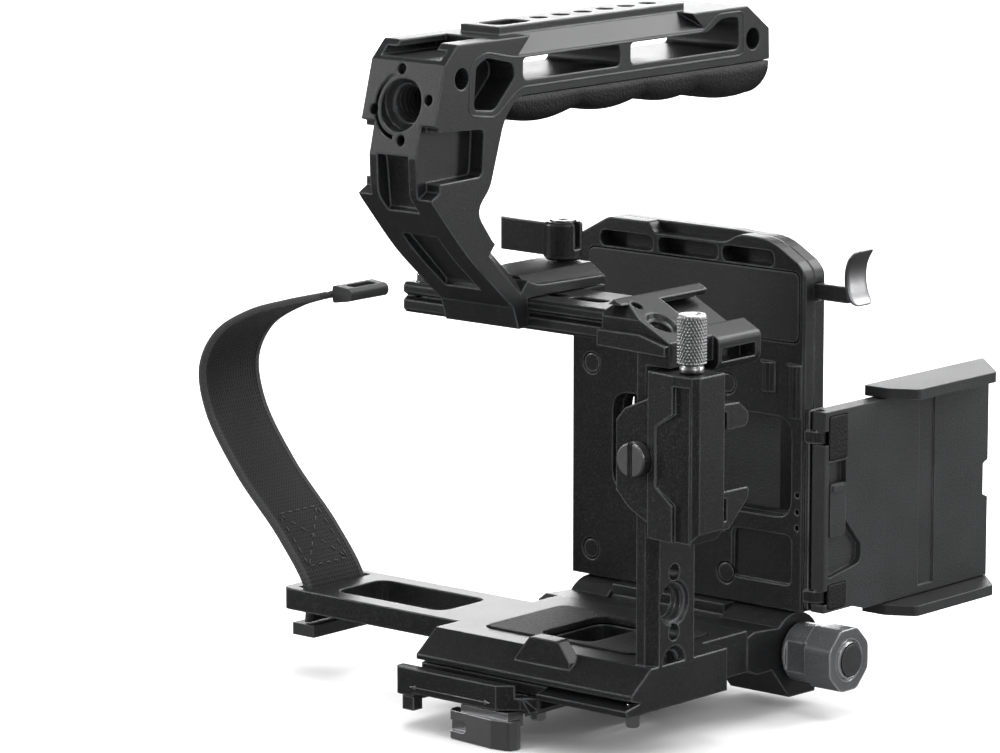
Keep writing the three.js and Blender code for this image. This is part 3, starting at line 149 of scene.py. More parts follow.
class Finish:
    """A material on the Principled shader, with constants set on the shader's own sockets."""

    def __init__(self, name, **constants):
        self.material = bpy.data.materials.new(name)
        self.material.use_nodes = True
        self.tree = self.material.node_tree
        self.shader = self.tree.nodes["Principled BSDF"]
        for key, value in constants.items():
            self.put(self.shader.inputs[key.replace("_", " ")], value)

    def put(self, socket, value):
        if isinstance(value, Wire):
            self.tree.links.new(value.socket, socket)
        elif isinstance(value, (tuple, list)) and len(socket.default_value) == 4:
            socket.default_value = (*value[:3], 1)
        else:
            socket.default_value = value

    def node(self, kind, settings=None, inputs=(), output=0):
        """Adds a node of a kind, sets its settings, then fills its sockets with values or wires."""
        made = self.tree.nodes.new("ShaderNode" + kind)
        for key, value in (settings or {}).items():
            setattr(made, key, value)
        pairs = inputs.items() if isinstance(inputs, dict) else enumerate(inputs)
        for key, value in pairs:
            self.put(made.inputs[key], value)
        return Wire(self, made.outputs[output])

    def where(self, stretch=(1, 1, 1)):
        """Places on the piece in metres, each direction multiplied by its stretch."""
        spot = self.node("TexCoord", output="Object")
        return self.node("Mapping", {}, {"Vector": spot, "Scale": stretch})

    def noise(self, scale, detail, stretch=(1, 1, 1)):
        """Cloudy values around 0.5, with about scale clouds to a metre."""
        return self.node("TexNoise", {}, {"Vector": self.where(stretch), "Scale": scale, "Detail": detail})

    def cells(self, scale):
        """Distance from the middle of the nearest cell, with about scale cells to a metre."""
        return self.node("TexVoronoi", {"feature": "F1"}, {"Vector": self.where(), "Scale": scale})

    def mix(self, amount, first, second):
        return self.node("Mix", {"data_type": "RGBA"}, {0: amount, 6: first, 7: second}, output=2)

    def bump(self, height, depth, normal=None):
        """The normal tilted by a height, where a height of 1 stands depth metres proud."""
        inputs = {"Height": height, "Distance": depth}
        if normal:
            inputs["Normal"] = normal
        return self.node("Bump", {}, inputs)

    def rounded(self, radius):
        """The surface's normal as if its edges had a small radius, and how much that turns it."""
        soft = self.node("Bevel", {"samples": BEVEL_SAMPLES}, {"Radius": radius})
        sharp = self.node("NewGeometry", output="True Normal")
        facing = self.node("VectorMath", {"operation": "DOT_PRODUCT"}, [soft, sharp], output="Value")
        return soft, (1 - facing).between(*EDGE_TURN)

    def wear_and_highlight(self, edge, amount):
        """Edge wear and painted edge highlight: a lighter mark strongest on the edge itself, broken up by a
        slow noise.
        """
        patchy = self.noise(WEAR_AND_HIGHLIGHT_SCALE, 3).between(0.35, 0.62)
        return edge * (patchy * (1 - LEAST_WEAR_AND_HIGHLIGHT) + LEAST_WEAR_AND_HIGHLIGHT) * amount

    def use(self, **varying):
        for key, value in varying.items():
            self.put(self.shader.inputs[key.replace("_", " ")], value)
        return self.material


print("helpers ready")

# %% [markdown]
# ## Black anodised aluminium
# The frame, handle and plates are milled, blasted with fine beads and dyed black in the oxide layer. The dye
# is thin on sharp edges, so the edges are painted lighter and made shinier, towards a bare grey: partly that
# wear and partly a painted highlight, on hollow edges as on outer ones. A bevel modifier could give the edges
# something to catch the light, but it tears on dense cut solids, so the Bevel node rounds the normal instead,
# and the amount that it turns also says where the edges are.


# %% Anodised finishes
EDGE_RADIUS = 0.0007
GRAIN_SCALE = 2600
PATCH_SCALE = 38
PAINTED_GLINT_AMOUNT = 0.07
PATCH_SHEEN = 0.08
GRAIN_SHEEN = 0.14
EDGE_SHEEN = 0.14


def anodised(name, colour, bare_and_highlight_colour, roughness, grain_depth, wear_and_highlight_amount):
    """Blasted and dyed metal: a fine grain with painted glints, slow patches of sheen, and shinier edges
    painted towards the bare colour as wear and as a painted highlight.
    """
    finish = Finish(name)
    soft, edge = finish.rounded(EDGE_RADIUS)
    # Edge mark: edge wear and painted edge highlight in one, which also makes the edges partly metallic.
    worn_and_highlit_edge = finish.wear_and_highlight(edge, wear_and_highlight_amount)
    grain = finish.noise(GRAIN_SCALE, 3)
    # Painted glints: the grain's highest specks are painted lighter, a painted highlight in the colour.
    painted_glints = grain.between(0.52, 0.72)
    patches = finish.noise(PATCH_SCALE, 4)
    lighter = tuple(1.5 * channel for channel in colour)
    dyed = finish.mix(patches.between(0.3, 0.75), colour, lighter)
    least = roughness - (PATCH_SHEEN + GRAIN_SHEEN) / 2
    return finish.use(
        # Base colour: the dye, painted towards the bare grey on edges as wear and painted highlight, and in
        # fine specks as painted glints.
        Base_Color=finish.mix(worn_and_highlit_edge + painted_glints * PAINTED_GLINT_AMOUNT, dyed, bare_and_highlight_colour),
        Roughness=patches * PATCH_SHEEN + grain * GRAIN_SHEEN + least - edge * EDGE_SHEEN,
        Metallic=worn_and_highlit_edge * 0.6,
        Normal=finish.bump(grain, grain_depth, soft),
    )


finishes = {
    "black_anodised": anodised("black anodised", colour=(0.0055, 0.0057, 0.0063), bare_and_highlight_colour=(0.26, 0.265, 0.275),
                               roughness=0.38, grain_depth=0.00005, wear_and_highlight_amount=0.34),
    "dark_panel": anodised("dark anodised panel", colour=(0.011, 0.0112, 0.012), bare_and_highlight_colour=(0.2, 0.2, 0.21),
                           roughness=0.52, grain_depth=0.00007, wear_and_highlight_amount=0.25),
    "grey_metal": anodised("grey anodised", colour=(0.045, 0.0465, 0.049), bare_and_highlight_colour=(0.55, 0.55, 0.56),
                           roughness=0.3, grain_depth=0.00001, wear_and_highlight_amount=0.8),
    "black_steel": anodised("black oxide steel", colour=(0.009, 0.009, 0.0095), bare_and_highlight_colour=(0.34, 0.34, 0.35),
                            roughness=0.32, grain_depth=0.000008, wear_and_highlight_amount=0.4),
}
print(len(finishes), "anodised finishes")

# %% [markdown]
# ## Bright metal
# The screws are turned, the thumb paddle is bent from brushed strip, and the stop pins are polished. Strokes
# are a noise that changes several times faster across them than along. It could be an anisotropic shader, but
# drawn lines in the roughness and the bump hold up close and keep in other viewers.


# %% Bright finishes
TURNED_RADIUS = 0.0002
STROKE_SCALE = 900
STAIN_SCALE = 120
STROKE_SHEEN = 0.22
STAIN_SHEEN = 0.08
# Near-white painted highlight that the edges of bright metal are mixed towards.
PAINTED_EDGE_HIGHLIGHT = (0.9, 0.9, 0.9)


def brushed(name, colour, roughness, stretch, depth=0.000006):
    """Drawn metal: long fine strokes in height and sheen, a few darker stains, and a painted highlight on the
    edges.
    """
    finish = Finish(name, Metallic=1.0)
    soft, edge = finish.rounded(TURNED_RADIUS)
    strokes = finish.noise(STROKE_SCALE, 4, stretch)
    stains = finish.noise(STAIN_SCALE, 5)
    stained = tuple(0.8 * channel for channel in colour)
    tone = finish.mix(stains.between(0.42, 0.72), colour, stained)
    least = roughness - (STROKE_SHEEN + STAIN_SHEEN) / 2
    return finish.use(
        # Edges painted towards near white: a painted highlight.
        Base_Color=finish.mix(edge * 0.6, tone, PAINTED_EDGE_HIGHLIGHT),
        Roughness=strokes * STROKE_SHEEN + stains * STAIN_SHEEN + least,
        Normal=finish.bump(strokes, depth, soft),
    )


finishes["steel"] = brushed("turned steel", (0.42, 0.42, 0.43), 0.4, (1, 1, 9))
finishes["chrome"] = brushed("polished pin", (0.74, 0.74, 0.75), 0.12, (1, 1, 6), 0.000002)
finishes["brass"] = brushed("contact brass", (0.72, 0.53, 0.24), 0.28, (9, 1, 1))
print(len(finishes), "finishes with the bright ones")

# %% [markdown]
# ## Moulded plastic and rubber
# The hood is moulded in a spark-eroded tool, which leaves an even leathery grain of about a third of a
# millimetre. The grip and pads are rubber with a coarser, duller stipple. Both grains are small cells of a
# Voronoi pattern as bump, because real displacement at that size would need millions of faces.


# %% Moulded finishes
CLOUD_SCALE = 55
CELL_SHEEN = 0.12
CLOUD_SHEEN = 0.1


def moulded(name, colour, roughness, cell_scale, depth, edge_wear_and_highlight_tone, radius):
    """Moulded surface: rounded cells as bump, slightly duller in the hollows, and edges painted paler, partly
    as handling wear and partly as a painted highlight.
    """
    finish = Finish(name, Specular_IOR_Level=0.45)
    soft, edge = finish.rounded(radius)
    cells = finish.cells(cell_scale)
    clouds = finish.noise(CLOUD_SCALE, 4)
    lighter = tuple(1.45 * channel for channel in colour)
    tone = finish.mix(clouds.between(0.3, 0.75), colour, lighter)
    height = finish.noise(cell_scale * 1.7, 2) * 0.5 - cells
    least = roughness - (CELL_SHEEN + CLOUD_SHEEN) / 2
    return finish.use(
        # Edges painted towards the paler edge tone: handling wear and a painted highlight in one mark.
        Base_Color=finish.mix(finish.wear_and_highlight(edge, 0.5), tone, edge_wear_and_highlight_tone),
        Roughness=cells * CELL_SHEEN + clouds * CLOUD_SHEEN + least,
        Normal=finish.bump(height, depth, soft),
    )


finishes["plastic"] = moulded("grained plastic", (0.018, 0.0185, 0.0195), 0.46, 2600, 0.00006,
                              (0.12, 0.12, 0.125), 0.0004)
finishes["rubber"] = moulded("stippled rubber", (0.005, 0.005, 0.0054), 0.62, 1500, 0.00014,
                             (0.02, 0.02, 0.021), 0.0007)
print(len(finishes), "finishes with the moulded ones")

# %% [markdown]
# ## Webbing
# The strap is woven nylon: ribs of yarn run across it, and a doubled selvedge of paler yarn runs along each
# edge. The pattern has to follow the band around its curve. It could be laid on from one side, but it would
# smear where the band turns away, so it reads the band's own map, which holds metres along and across it.

# %% Webbing finish
RIB_PITCH = 0.0011
YARN_PITCH = 0.0009
RIB_RIPPLE = 1.3
SELVEDGE_STARTS = (0.0090, 0.0094)
webbing = Finish("woven webbing", Sheen_Weight=0.03, Sheen_Roughness=0.5)
map_spot = webbing.node("UVMap", {"uv_map": "band"})
along = webbing.node("SeparateXYZ", {}, [map_spot], output="X")
across = webbing.node("SeparateXYZ", {}, [map_spot], output="Y")
yarn_phase = (across * (2 * math.pi / YARN_PITCH)).math("SINE")
rib_phase = (along * (2 * math.pi / RIB_PITCH) + yarn_phase * RIB_RIPPLE).math("SINE")
weave = rib_phase * 0.5 + yarn_phase * 0.3 + webbing.noise(2400, 3) * 0.6
selvedge = across.math("ABSOLUTE").between(*SELVEDGE_STARTS)
yarn = webbing.mix(weave.between(-0.6, 0.9), (0.0022, 0.0022, 0.0025), (0.011, 0.011, 0.012))
webbing.use(Base_Color=webbing.mix(selvedge * 0.8, yarn, (0.04, 0.04, 0.042)),
            Roughness=weave * 0.06 + 0.82, Normal=webbing.bump(weave, 0.00012))
finishes["webbing"] = webbing.material

for row in frame["record"]["subparts"]:
    part = nodes[row["node"]]
    for part_slot in part.material_slots:
        part_slot.material = finishes[row["material_slot"]]

# %% [markdown]
# ## Surfaces from grids
# Every added piece is a grid of points worked out from two parameters. It could be built up with modifiers,
# but a formula gives each surface its exact shape. Each row closes into a ring, and the last ring may join
# the first. Where a ring shrinks to a point, its doubles are merged so that the pole is closed.


# %% Grid to piece
MERGE_DISTANCE = 1e-7


def ring_faces(rows, columns, joined=False):
    """Four-cornered faces from each ring to the next, and from the last to the first if joined."""
    index = np.arange(rows * columns).reshape(rows, columns)
    here = index if joined else index[:-1]
    ahead = np.roll(index, -1, axis=0) if joined else index[1:]
    return np.stack([here, np.roll(here, -1, 1), np.roll(ahead, -1, 1), ahead], axis=-1).reshape(-1, 4)


def capped(grid):
    """The grid with one more ring at each end, shrunk to the mean of the ring beside it."""
    first, last = (np.broadcast_to(end.mean(axis=0), end.shape)[None] for end in (grid[0], grid[-1]))
    return np.concatenate([first, grid, last])


def piece(name, grid, slot, body, joined=False, uv=None, replaces=()):
    """A piece from a grid of shape (rows, columns, 3) in metres, where each row is a ring."""
    return mesh_piece(name, grid.reshape(-1, 3), ring_faces(*grid.shape[:2], joined), slot, body,
                      None if uv is None else uv.reshape(-1, 2), replaces)


def mesh_piece(name, points, faces, slot, body, uv=None, replaces=()):
    """A finished piece: mesh, merged doubles, outward faces, the finish named by its slot, and body."""
    mesh = bpy.data.meshes.new(name)
    mesh.from_pydata(points, [], faces.tolist())
    if uv is not None:
        layer = mesh.uv_layers.new(name="band")
        corner_points = np.empty(len(mesh.loops), int)
        mesh.loops.foreach_get("vertex_index", corner_points)
        layer.data.foreach_set("uv", uv[corner_points].ravel().astype(np.float32))
    shell = bmesh.new()
    shell.from_mesh(mesh)
    bmesh.ops.remove_doubles(shell, verts=shell.verts, dist=MERGE_DISTANCE)
    bmesh.ops.recalc_face_normals(shell, faces=shell.faces)
    shell.to_mesh(mesh)
    shell.free()
    mesh.shade_smooth()
    mesh.materials.append(finishes[slot])
    made = bpy.data.objects.new(name, mesh)
    bpy.context.scene.collection.objects.link(made)
    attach(made, body)
    if replaces:
        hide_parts(*replaces)
    print(f"{name}: {len(mesh.vertices)} points, {len(mesh.polygons)} faces")
    return made


def ring(count):
    """Angles of count places around a circle."""
    return np.linspace(0, 2 * math.pi, count, endpoint=False)


def saw(value):
    """A triangle wave: 0 on whole numbers, 1 halfway between them."""
    return 1 - np.abs(2 * (value % 1) - 1)


def squared(wave, power):
    """A wave's size to a power, with the wave's sign. Below 1 it swells a circle towards a square."""
    return np.sign(wave) * np.abs(wave) ** power


def quarter_circle(share):
    """Height of a quarter circle that rises from 0 at share 0 to 1 at share 1."""
    return np.sqrt(share * (2 - share))


print("grid helpers ready")

# %% [markdown]
# ## Knurled thumbscrew
# The cable clamp's screw is turned and then rolled with a diamond knurl. A bump would keep a smooth outline,
# and the knurl's teeth show against the light, so the teeth are geometry: two families of slanting grooves.

# %% Thumbscrew
SCREW_X, SCREW_Y = 15.9, 1.3
SEAT = 72.0
HEAD_RADIUS = 3.6
KNURL_DEPTH = 0.34
KNURLS_AROUND = 26
KNURL_PITCH = 1.5
FIRST_KNURL = 0.4
# The outline's points are (radius, height), carried round the screw's axis.
turned = [(0, 40.7), (1.6, 40.7), (2.0, 41.1), (2.0, SEAT), (2.8, SEAT), (2.9, SEAT + 0.15),
          (2.9, SEAT + 1.3), (2.5, SEAT + 1.5), (2.5, SEAT + 1.9), (3.15, SEAT + 2.0)]
rolled = [(HEAD_RADIUS, z) for z in np.linspace(SEAT + 2.3, SEAT + 13.2, 96)]
crown = [(3.15, SEAT + 13.75), (2.1, SEAT + 13.8), (1.9, SEAT + 13.45), (0, SEAT + 13.4)]
profile = np.array(turned + rolled + crown)
knurled = np.zeros(len(profile))
knurled[len(turned):len(turned) + len(rolled)] = 1
knurled[len(turned)] = FIRST_KNURL
angles = ring(240)
outline, height = profile[:, :1], profile[:, 1:]
# A tooth stands where both slanting triangle waves are high. The radius sinks by what the lower one lacks.
turns = angles[None, :] / (2 * math.pi) * KNURLS_AROUND
teeth = np.minimum(saw(turns + height / KNURL_PITCH), saw(turns - height / KNURL_PITCH))
radius = outline - knurled[:, None] * KNURL_DEPTH * (1 - teeth)
grid = np.stack([SCREW_X + radius * np.cos(angles), SCREW_Y + radius * np.sin(angles),
                 height + 0 * angles], axis=-1)
piece("knurled_thumbscrew", place(grid), "steel", "cable_thumbscrew", replaces=["thumbscrew"])

# %% [markdown]
# ## Thumb paddle
# The battery's release ends in a bowed steel paddle with round corners. Its machining model has flat facets
# that band under the lights, so the visible one is a smooth sweep: a flat oval section that follows the bow
# and narrows into each end on a quarter circle.

# %% Paddle
PADDLE_HALF_LENGTH = 6.9
PADDLE_HALF_WIDTH = 4.0
PADDLE_HALF_THICK = 0.75
PADDLE_CORNER = 2.0
PADDLE_BACK_X = 10.6
PADDLE_MIDDLE_Y = 70.6
PADDLE_MIDDLE_Z = 85.6
TIP_LENGTH = 0.5
TIP_THICK = 0.02
END_GAP = 0.02
# The bow is the quartic through five places: heights from the middle, and how far each stands out.
bow_height = np.array([-6.9, -3.8, 0.0, 4.14, 6.9])
bow_reach = np.array([2.6, 0.6, 0.0, 0.8, 3.0])
bow = np.polyfit(bow_height, bow_reach, 4)
swept = np.linspace(-math.pi / 2, math.pi / 2, 72)
height = (PADDLE_HALF_LENGTH - END_GAP) * np.sin(swept)
from_end = np.clip(PADDLE_HALF_LENGTH - np.abs(height), 0, PADDLE_CORNER)
half_width = PADDLE_HALF_WIDTH - PADDLE_CORNER * (1 - quarter_circle(from_end / PADDLE_CORNER))
half_thick = PADDLE_HALF_THICK * np.sqrt(np.clip(from_end / TIP_LENGTH, TIP_THICK, 1))
middle_x = PADDLE_BACK_X + PADDLE_HALF_THICK + np.polyval(bow, height)
oval = ring(56)
paddle_x = middle_x[:, None] + half_thick[:, None] * squared(np.sin(oval), 0.6)
paddle_y = PADDLE_MIDDLE_Y + half_width[:, None] * squared(np.cos(oval), 0.35)
grid = np.stack(np.broadcast_arrays(paddle_x, paddle_y, PADDLE_MIDDLE_Z + height[:, None]), axis=-1)
piece("thumb_paddle", place(capped(grid)), "steel", "paddle", replaces=["release_paddle"])

# %% [markdown]
# ## Threads
# Tapped holes show a few turns of thread just inside their mouths. A groove could be cut from the part with a
# boolean, but that breaks a finished solid. Each thread is instead a thin sleeve within the plain bore: its
# inner wall is a helix, so the radius depends on both the angle and the depth.


# %% Thread sleeves
WALL_GAP = 0.02
ROOT_GAP = 0.06
STEPS_PER_PITCH = 8
CREST_POWER = 0.8


def thread(name, centre, axis, bore, core, pitch, depth, body):
    """A sleeve along axis from centre. Inner radius: core at a crest and nearly bore at a root,
    where the crests climb one pitch for each turn. The wall closes at both ends."""
    axis = np.array(axis, float) / np.linalg.norm(axis)
    side = np.cross(axis, (0, 0, 1) if abs(axis[2]) < 0.9 else (1, 0, 0))
    side /= np.linalg.norm(side)
    other = np.cross(axis, side)
    angle = ring(48)
    steps = np.linspace(0, depth, max(12, int(depth / pitch * STEPS_PER_PITCH)))
    root = bore - ROOT_GAP
    fade = np.clip(np.minimum(steps, depth - steps) / (0.5 * pitch), 0, 1)[:, None]
    crest = saw(steps[:, None] / pitch + angle / (2 * math.pi))
    inner = root - (root - core) * crest ** CREST_POWER * fade
    along_wall = np.concatenate([steps, [depth, 0]])
    radii = np.concatenate([inner, np.full((2, len(angle)), bore - WALL_GAP)])
    grid = (np.array(centre) + along_wall[:, None, None] * axis
            + (radii * np.cos(angle))[..., None] * side + (radii * np.sin(angle))[..., None] * other)
    piece(name, place(grid), "black_anodised", body, joined=True)


QUARTER = {"bore": 3.2, "core": 2.6, "pitch": 1.27}
THREE_EIGHTHS = {"bore": 4.9, "core": 4.1, "pitch": 1.588}
TOP_HOLE = {"bore": 2.4, "core": 1.95, "pitch": 0.8}

# %% Threads in the cage
RAIL_TOP = 84.0
# The shoulder slopes down towards +x and is this far under the rail's top at its outer edge.
SHOULDER_SLOPE = math.radians(27)
SHOULDER_DROP = 5.7
SHOULDER_EDGE_X = 10.5
HOLE_X, HOLE_Y = 3.6, 5.4
MOUTH_DEPTH = 0.95
down_hole = np.array([-math.sin(SHOULDER_SLOPE), 0, -math.cos(SHOULDER_SLOPE)])
hole_z = RAIL_TOP - SHOULDER_DROP + (SHOULDER_EDGE_X - HOLE_X) * math.tan(SHOULDER_SLOPE)
hole_mouth = np.array([HOLE_X, HOLE_Y, hole_z]) + MOUTH_DEPTH * down_hole
thread("bar_thread_large", (5.0, 8, 14.1), (-1, 0, 0), depth=4.4, body="cage", **THREE_EIGHTHS)
thread("bar_thread_small", (4.5, 8, -0.6), (-1, 0, 0), depth=3.9, body="cage", **QUARTER)
thread("shoulder_thread", hole_mouth, down_hole, depth=7.8, body="cage", **QUARTER)

# %% Threads in the handle
HANDLE_MIDDLE_X = -45.0
HANDLE_TOP_Z = 148.7
TOP_HOLES = 6
TOP_HOLE_FIRST_Y = 17.6
TOP_HOLE_STEP = 8.3
thread("head_thread", (HANDLE_MIDDLE_X, -29.2, 133), (0, 1, 0), depth=14, body="handle", **THREE_EIGHTHS)
for number in range(TOP_HOLES):
    mouth = (HANDLE_MIDDLE_X, TOP_HOLE_FIRST_Y + TOP_HOLE_STEP * number, HANDLE_TOP_Z)
    thread(f"top_thread_{number + 1}", mouth, (0, 0, -1), depth=5.5, body="handle", **TOP_HOLE)

# %% [markdown]
# ## Rubber grip
# The grip is moulded around the handle's underside, with one shallow lobe for each finger. A box with a bevel
# modifier would keep corners that the hand feels; this section is a superellipse, flat at the sides and full
# underneath, and its depth follows the finger lobes along the beam.

# %% Grip
HANDLE_HALF_WIDTH = 11.5
GRIP_TOP = 133.0
GRIP_FRONT, GRIP_BACK = -7.0, 93.1
END_LENGTH = 5.0
END_Z = 132.6
TAIL_DEPTH = 0.45
cusp_y = np.array([-3.5, 20.6, 45.3, 65.5, 87.5])
cusp_z = np.array([127.7, 128.2, 128.4, 127.6, 124.6])
lobe_depth = np.array([2.2, 2.2, 2.0, 1.6])
# The floor runs straight from cusp to cusp, less a lobe that is a sine's half wave, a little fuller.
grip_y = np.linspace(GRIP_FRONT, GRIP_BACK, 200)
lobe = np.clip(np.searchsorted(cusp_y, grip_y) - 1, 0, len(lobe_depth) - 1)
within = np.clip((grip_y - cusp_y[lobe]) / (cusp_y[lobe + 1] - cusp_y[lobe]), 0, 1)
floor_z = np.interp(grip_y, cusp_y, cusp_z) - lobe_depth[lobe] * np.sin(math.pi * within) ** 0.85
# Both ends rise on quarter circles: the nose all the way up, and the tail to a blunt end.
nose = quarter_circle(np.clip((grip_y - GRIP_FRONT + 0.4) / END_LENGTH, 0, 1))
tail = quarter_circle(np.clip((GRIP_BACK + 0.1 - grip_y) / END_LENGTH, 0, 1))
floor_z = END_Z - (END_Z - floor_z) * nose * (TAIL_DEPTH + (1 - TAIL_DEPTH) * tail)
sweep = np.linspace(0, math.pi, 40)
grip_x = HANDLE_MIDDLE_X + HANDLE_HALF_WIDTH * squared(np.cos(sweep), 0.42)
drop = squared(np.sin(sweep), 0.5)
grid = np.stack(np.broadcast_arrays(grip_x[None, :], grip_y[:, None],
                                    GRIP_TOP - (GRIP_TOP - floor_z[:, None]) * drop[None, :]), axis=-1)
piece("rubber_grip", place(capped(grid)), "rubber", "handle", replaces=["handle_grip"])

# %% [markdown]
# ## Step line and arrow
# A fine step runs round the pocket and both slots on each side of the handle, where the cutter changed
# depth, and a plain arrow on the plate's nose shows which way the lock slides. Both are slender beads carried
# along a line: too fine for the machining model, yet they catch the light as a bump can't.


# %% Beads
ARC_STEPS = 6
STEP_RADIUS = 2.2


def bead(name, route, normal, half_width, rise, body, slot="black_anodised", closed=True):
    """A low rounded rib along route. Its section is half_width to each side in the surface and rise
    along the surface's normal; half_width may be one number or one for each point."""
    route, normal = np.asarray(route, float), np.asarray(normal, float)
    ahead = np.roll(route, -1, 0) - np.roll(route, 1, 0) if closed else np.gradient(route, axis=0)
    ahead /= np.linalg.norm(ahead, axis=1)[:, None]
    sideways = np.cross(normal, ahead)
    angle = ring(10)
    wide = np.broadcast_to(np.asarray(half_width, float), (len(route),))[:, None, None]
    grid = (route[:, None] + wide * np.cos(angle)[None, :, None] * sideways[:, None]
            + rise * np.sin(angle)[None, :, None] * normal)
    piece(name, place(grid), slot, body, joined=closed)


def rounded_line(corners, radius):
    """A closed line through corners, each turned into an arc that starts radius before its corner, or
    just under halfway along where the side is short. The arc is a quadratic whose control is the corner."""
    corners = np.asarray(corners, float)
    back = np.roll(corners, 1, 0) - corners
    forth = np.roll(corners, -1, 0) - corners
    reach_back = np.minimum(radius, np.linalg.norm(back, axis=1) / 2.1)[:, None]
    reach_forth = np.minimum(radius, np.linalg.norm(forth, axis=1) / 2.1)[:, None]
    start = corners + back / np.linalg.norm(back, axis=1)[:, None] * reach_back
    end = corners + forth / np.linalg.norm(forth, axis=1)[:, None] * reach_forth
    t = np.linspace(0, 1, ARC_STEPS)[None, :, None]
    arcs = (1 - t) ** 2 * start[:, None] + 2 * t * (1 - t) * corners[:, None] + t**2 * end[:, None]
    return arcs.reshape(-1, 2)


# %% Step lines and arrow
step_corners = [(-21.2, 130.2), (-20.4, 142.4), (-15.2, 144.7), (-4.4, 142.5), (67.2, 142.5), (72.4, 146.2),
                (82.9, 146.2), (83.0, 135.2), (-2.6, 135.2), (-11.6, 128.9)]
step = rounded_line(step_corners, STEP_RADIUS)
for side, side_name in ((1, "port"), (-1, "grip_side")):
    route = np.column_stack([np.full(len(step), HANDLE_MIDDLE_X + side * HANDLE_HALF_WIDTH), step])
    bead(f"step_line_{side_name}", route, (side, 0, 0), 0.32, 0.16, "handle")

PLATE_NOSE_Y = -14.0
ARROW_Z = -12.6
arrow_x = np.array([-59.0, -57.2, -57.19, -35.01, -35.0, -33.2])
arrow_half = np.array([0.01, 0.62, 0.14, 0.14, 0.62, 0.01])
arrow = np.column_stack([arrow_x, np.full_like(arrow_x, PLATE_NOSE_Y), np.full_like(arrow_x, ARROW_Z)])
bead("lock_arrow", arrow, (0, -1, 0), arrow_half, 0.08, "cage", "steel", closed=False)

# %% [markdown]
# ## Hand strap
# The strap rises from the cage's side arm, bows out round the hand and comes back to the link at the top.
# A cloth simulation would let it hang, and a stiff strap stands, so its section is carried along a smooth
# curve through a few points, and the selvedges are a little thicker than the middle.


# %% Path helper
def smooth_path(points, per_span):
    """A curve through points. Between two points it is a cubic whose end slopes come from the points
    around them, spaced by the square root of their distances, so that it doesn't overshoot."""
    p = np.asarray(points, float)
    p = np.vstack([2 * p[0] - p[1], p, 2 * p[-1] - p[-2]])
    gap = np.sqrt(np.linalg.norm(np.diff(p, axis=0), axis=1))[:, None]
    slope = np.diff(p, axis=0) / gap
    middle = slope[:-1] - (p[2:] - p[:-2]) / (gap[:-1] + gap[1:]) + slope[1:]
    t = np.linspace(0, 1, per_span, endpoint=False)[None, :, None]
    a, b = p[1:-2, None], p[2:-1, None]
    ta, tb = (middle[:-1] * gap[1:-1])[:, None], (middle[1:] * gap[1:-1])[:, None]
    curve = (2 * t**3 - 3 * t**2 + 1) * a + (t**3 - 2 * t**2 + t) * ta + (3 * t**2 - 2 * t**3) * b \
        + (t**3 - t**2) * tb
    return np.vstack([curve.reshape(-1, p.shape[1]), p[-2]])


# %% Strap
STRAP_WIDTH = 22.0
STRAP_MIDDLE_Y = 22.0
STRAP_HALF_THICK = 0.62
SELVEDGE_EXTRA = 0.38
SELVEDGE_PLACE = 10.0
SELVEDGE_SPREAD = 0.9
strap_route = [(-116.5, -9.5), (-116.5, -1.5), (-125.5, 11), (-140.5, 26), (-151, 41), (-153, 52),
               (-148, 61), (-137, 67.6), (-123, 72), (-111, 75)]
line = smooth_path(strap_route, 16)
reach = np.concatenate([[0], np.cumsum(np.linalg.norm(np.diff(line, axis=0), axis=1))])
tangent = np.gradient(line, axis=0)
tangent /= np.linalg.norm(tangent, axis=1)[:, None]
outward = np.stack([-tangent[:, 1], tangent[:, 0]], axis=1)
turn = ring(48)
side_place = STRAP_WIDTH / 2 * squared(np.cos(turn), 0.5)
# Half the thickness is even across the band, with a smooth hump over each selvedge.
hump = np.exp(-((np.abs(side_place) - SELVEDGE_PLACE) / SELVEDGE_SPREAD) ** 2)
off = (STRAP_HALF_THICK + SELVEDGE_EXTRA * hump) * squared(np.sin(turn), 0.35)
strap_grid = np.stack(np.broadcast_arrays(line[:, :1] + outward[:, :1] * off,
                                          STRAP_MIDDLE_Y + side_place[None, :],
                                          line[:, 1:] + outward[:, 1:] * off), axis=-1)
reach_all = np.concatenate([[0], reach, [reach[-1]]])
band_map = np.stack(np.broadcast_arrays(reach_all[:, None] * MM, side_place[None, :] * MM), axis=-1)
strap = piece("webbing_strap", place(capped(strap_grid)), "webbing", "cage", uv=band_map,
              replaces=["hand_strap"])
print("strap is", round(float(reach[-1]), 1), "mm long")

# %% [markdown]
# ## Stitches
# Each end of the strap is sewn in a box with a cross in it. A stitch is a short thread, fat in the middle and
# pulled in at both ends. Stitches could be painted as a bump, but they stand proud of the webbing, so one
# shape is worked out at every place along the seams at once.

# %% Stitches
STITCH_LENGTH = 2.0
STITCH_GAP = 0.7
STITCH_HALF_THICK = 0.26
STITCH_FLATNESS = 0.8
STITCH_LIFT = 0.66
SEAM_HALF_WIDTH = 7.2


def seam(start, end):
    """Centres and headings of the stitches from one (along, across) place on the band to another."""
    start, end = np.array(start, float), np.array(end, float)
    length = np.linalg.norm(end - start)
    count = max(1, int(length / (STITCH_LENGTH + STITCH_GAP)))
    share = (np.arange(count)[:, None] + 0.5) / count
    return start + (end - start) * share, np.repeat(((end - start) / length)[None], count, axis=0)


def box_cross(low, high, half):
    """Centres and headings of the stitches in a box with a cross in it, from low to high along the band."""
    corners = [(low, -half), (high, -half), (high, half), (low, half)]
    pairs = [*zip(corners, corners[1:] + corners[:1]), (corners[0], corners[2]), (corners[1], corners[3])]
    places, ways = zip(*(seam(start, end) for start, end in pairs))
    return np.vstack(places), np.vstack(ways)


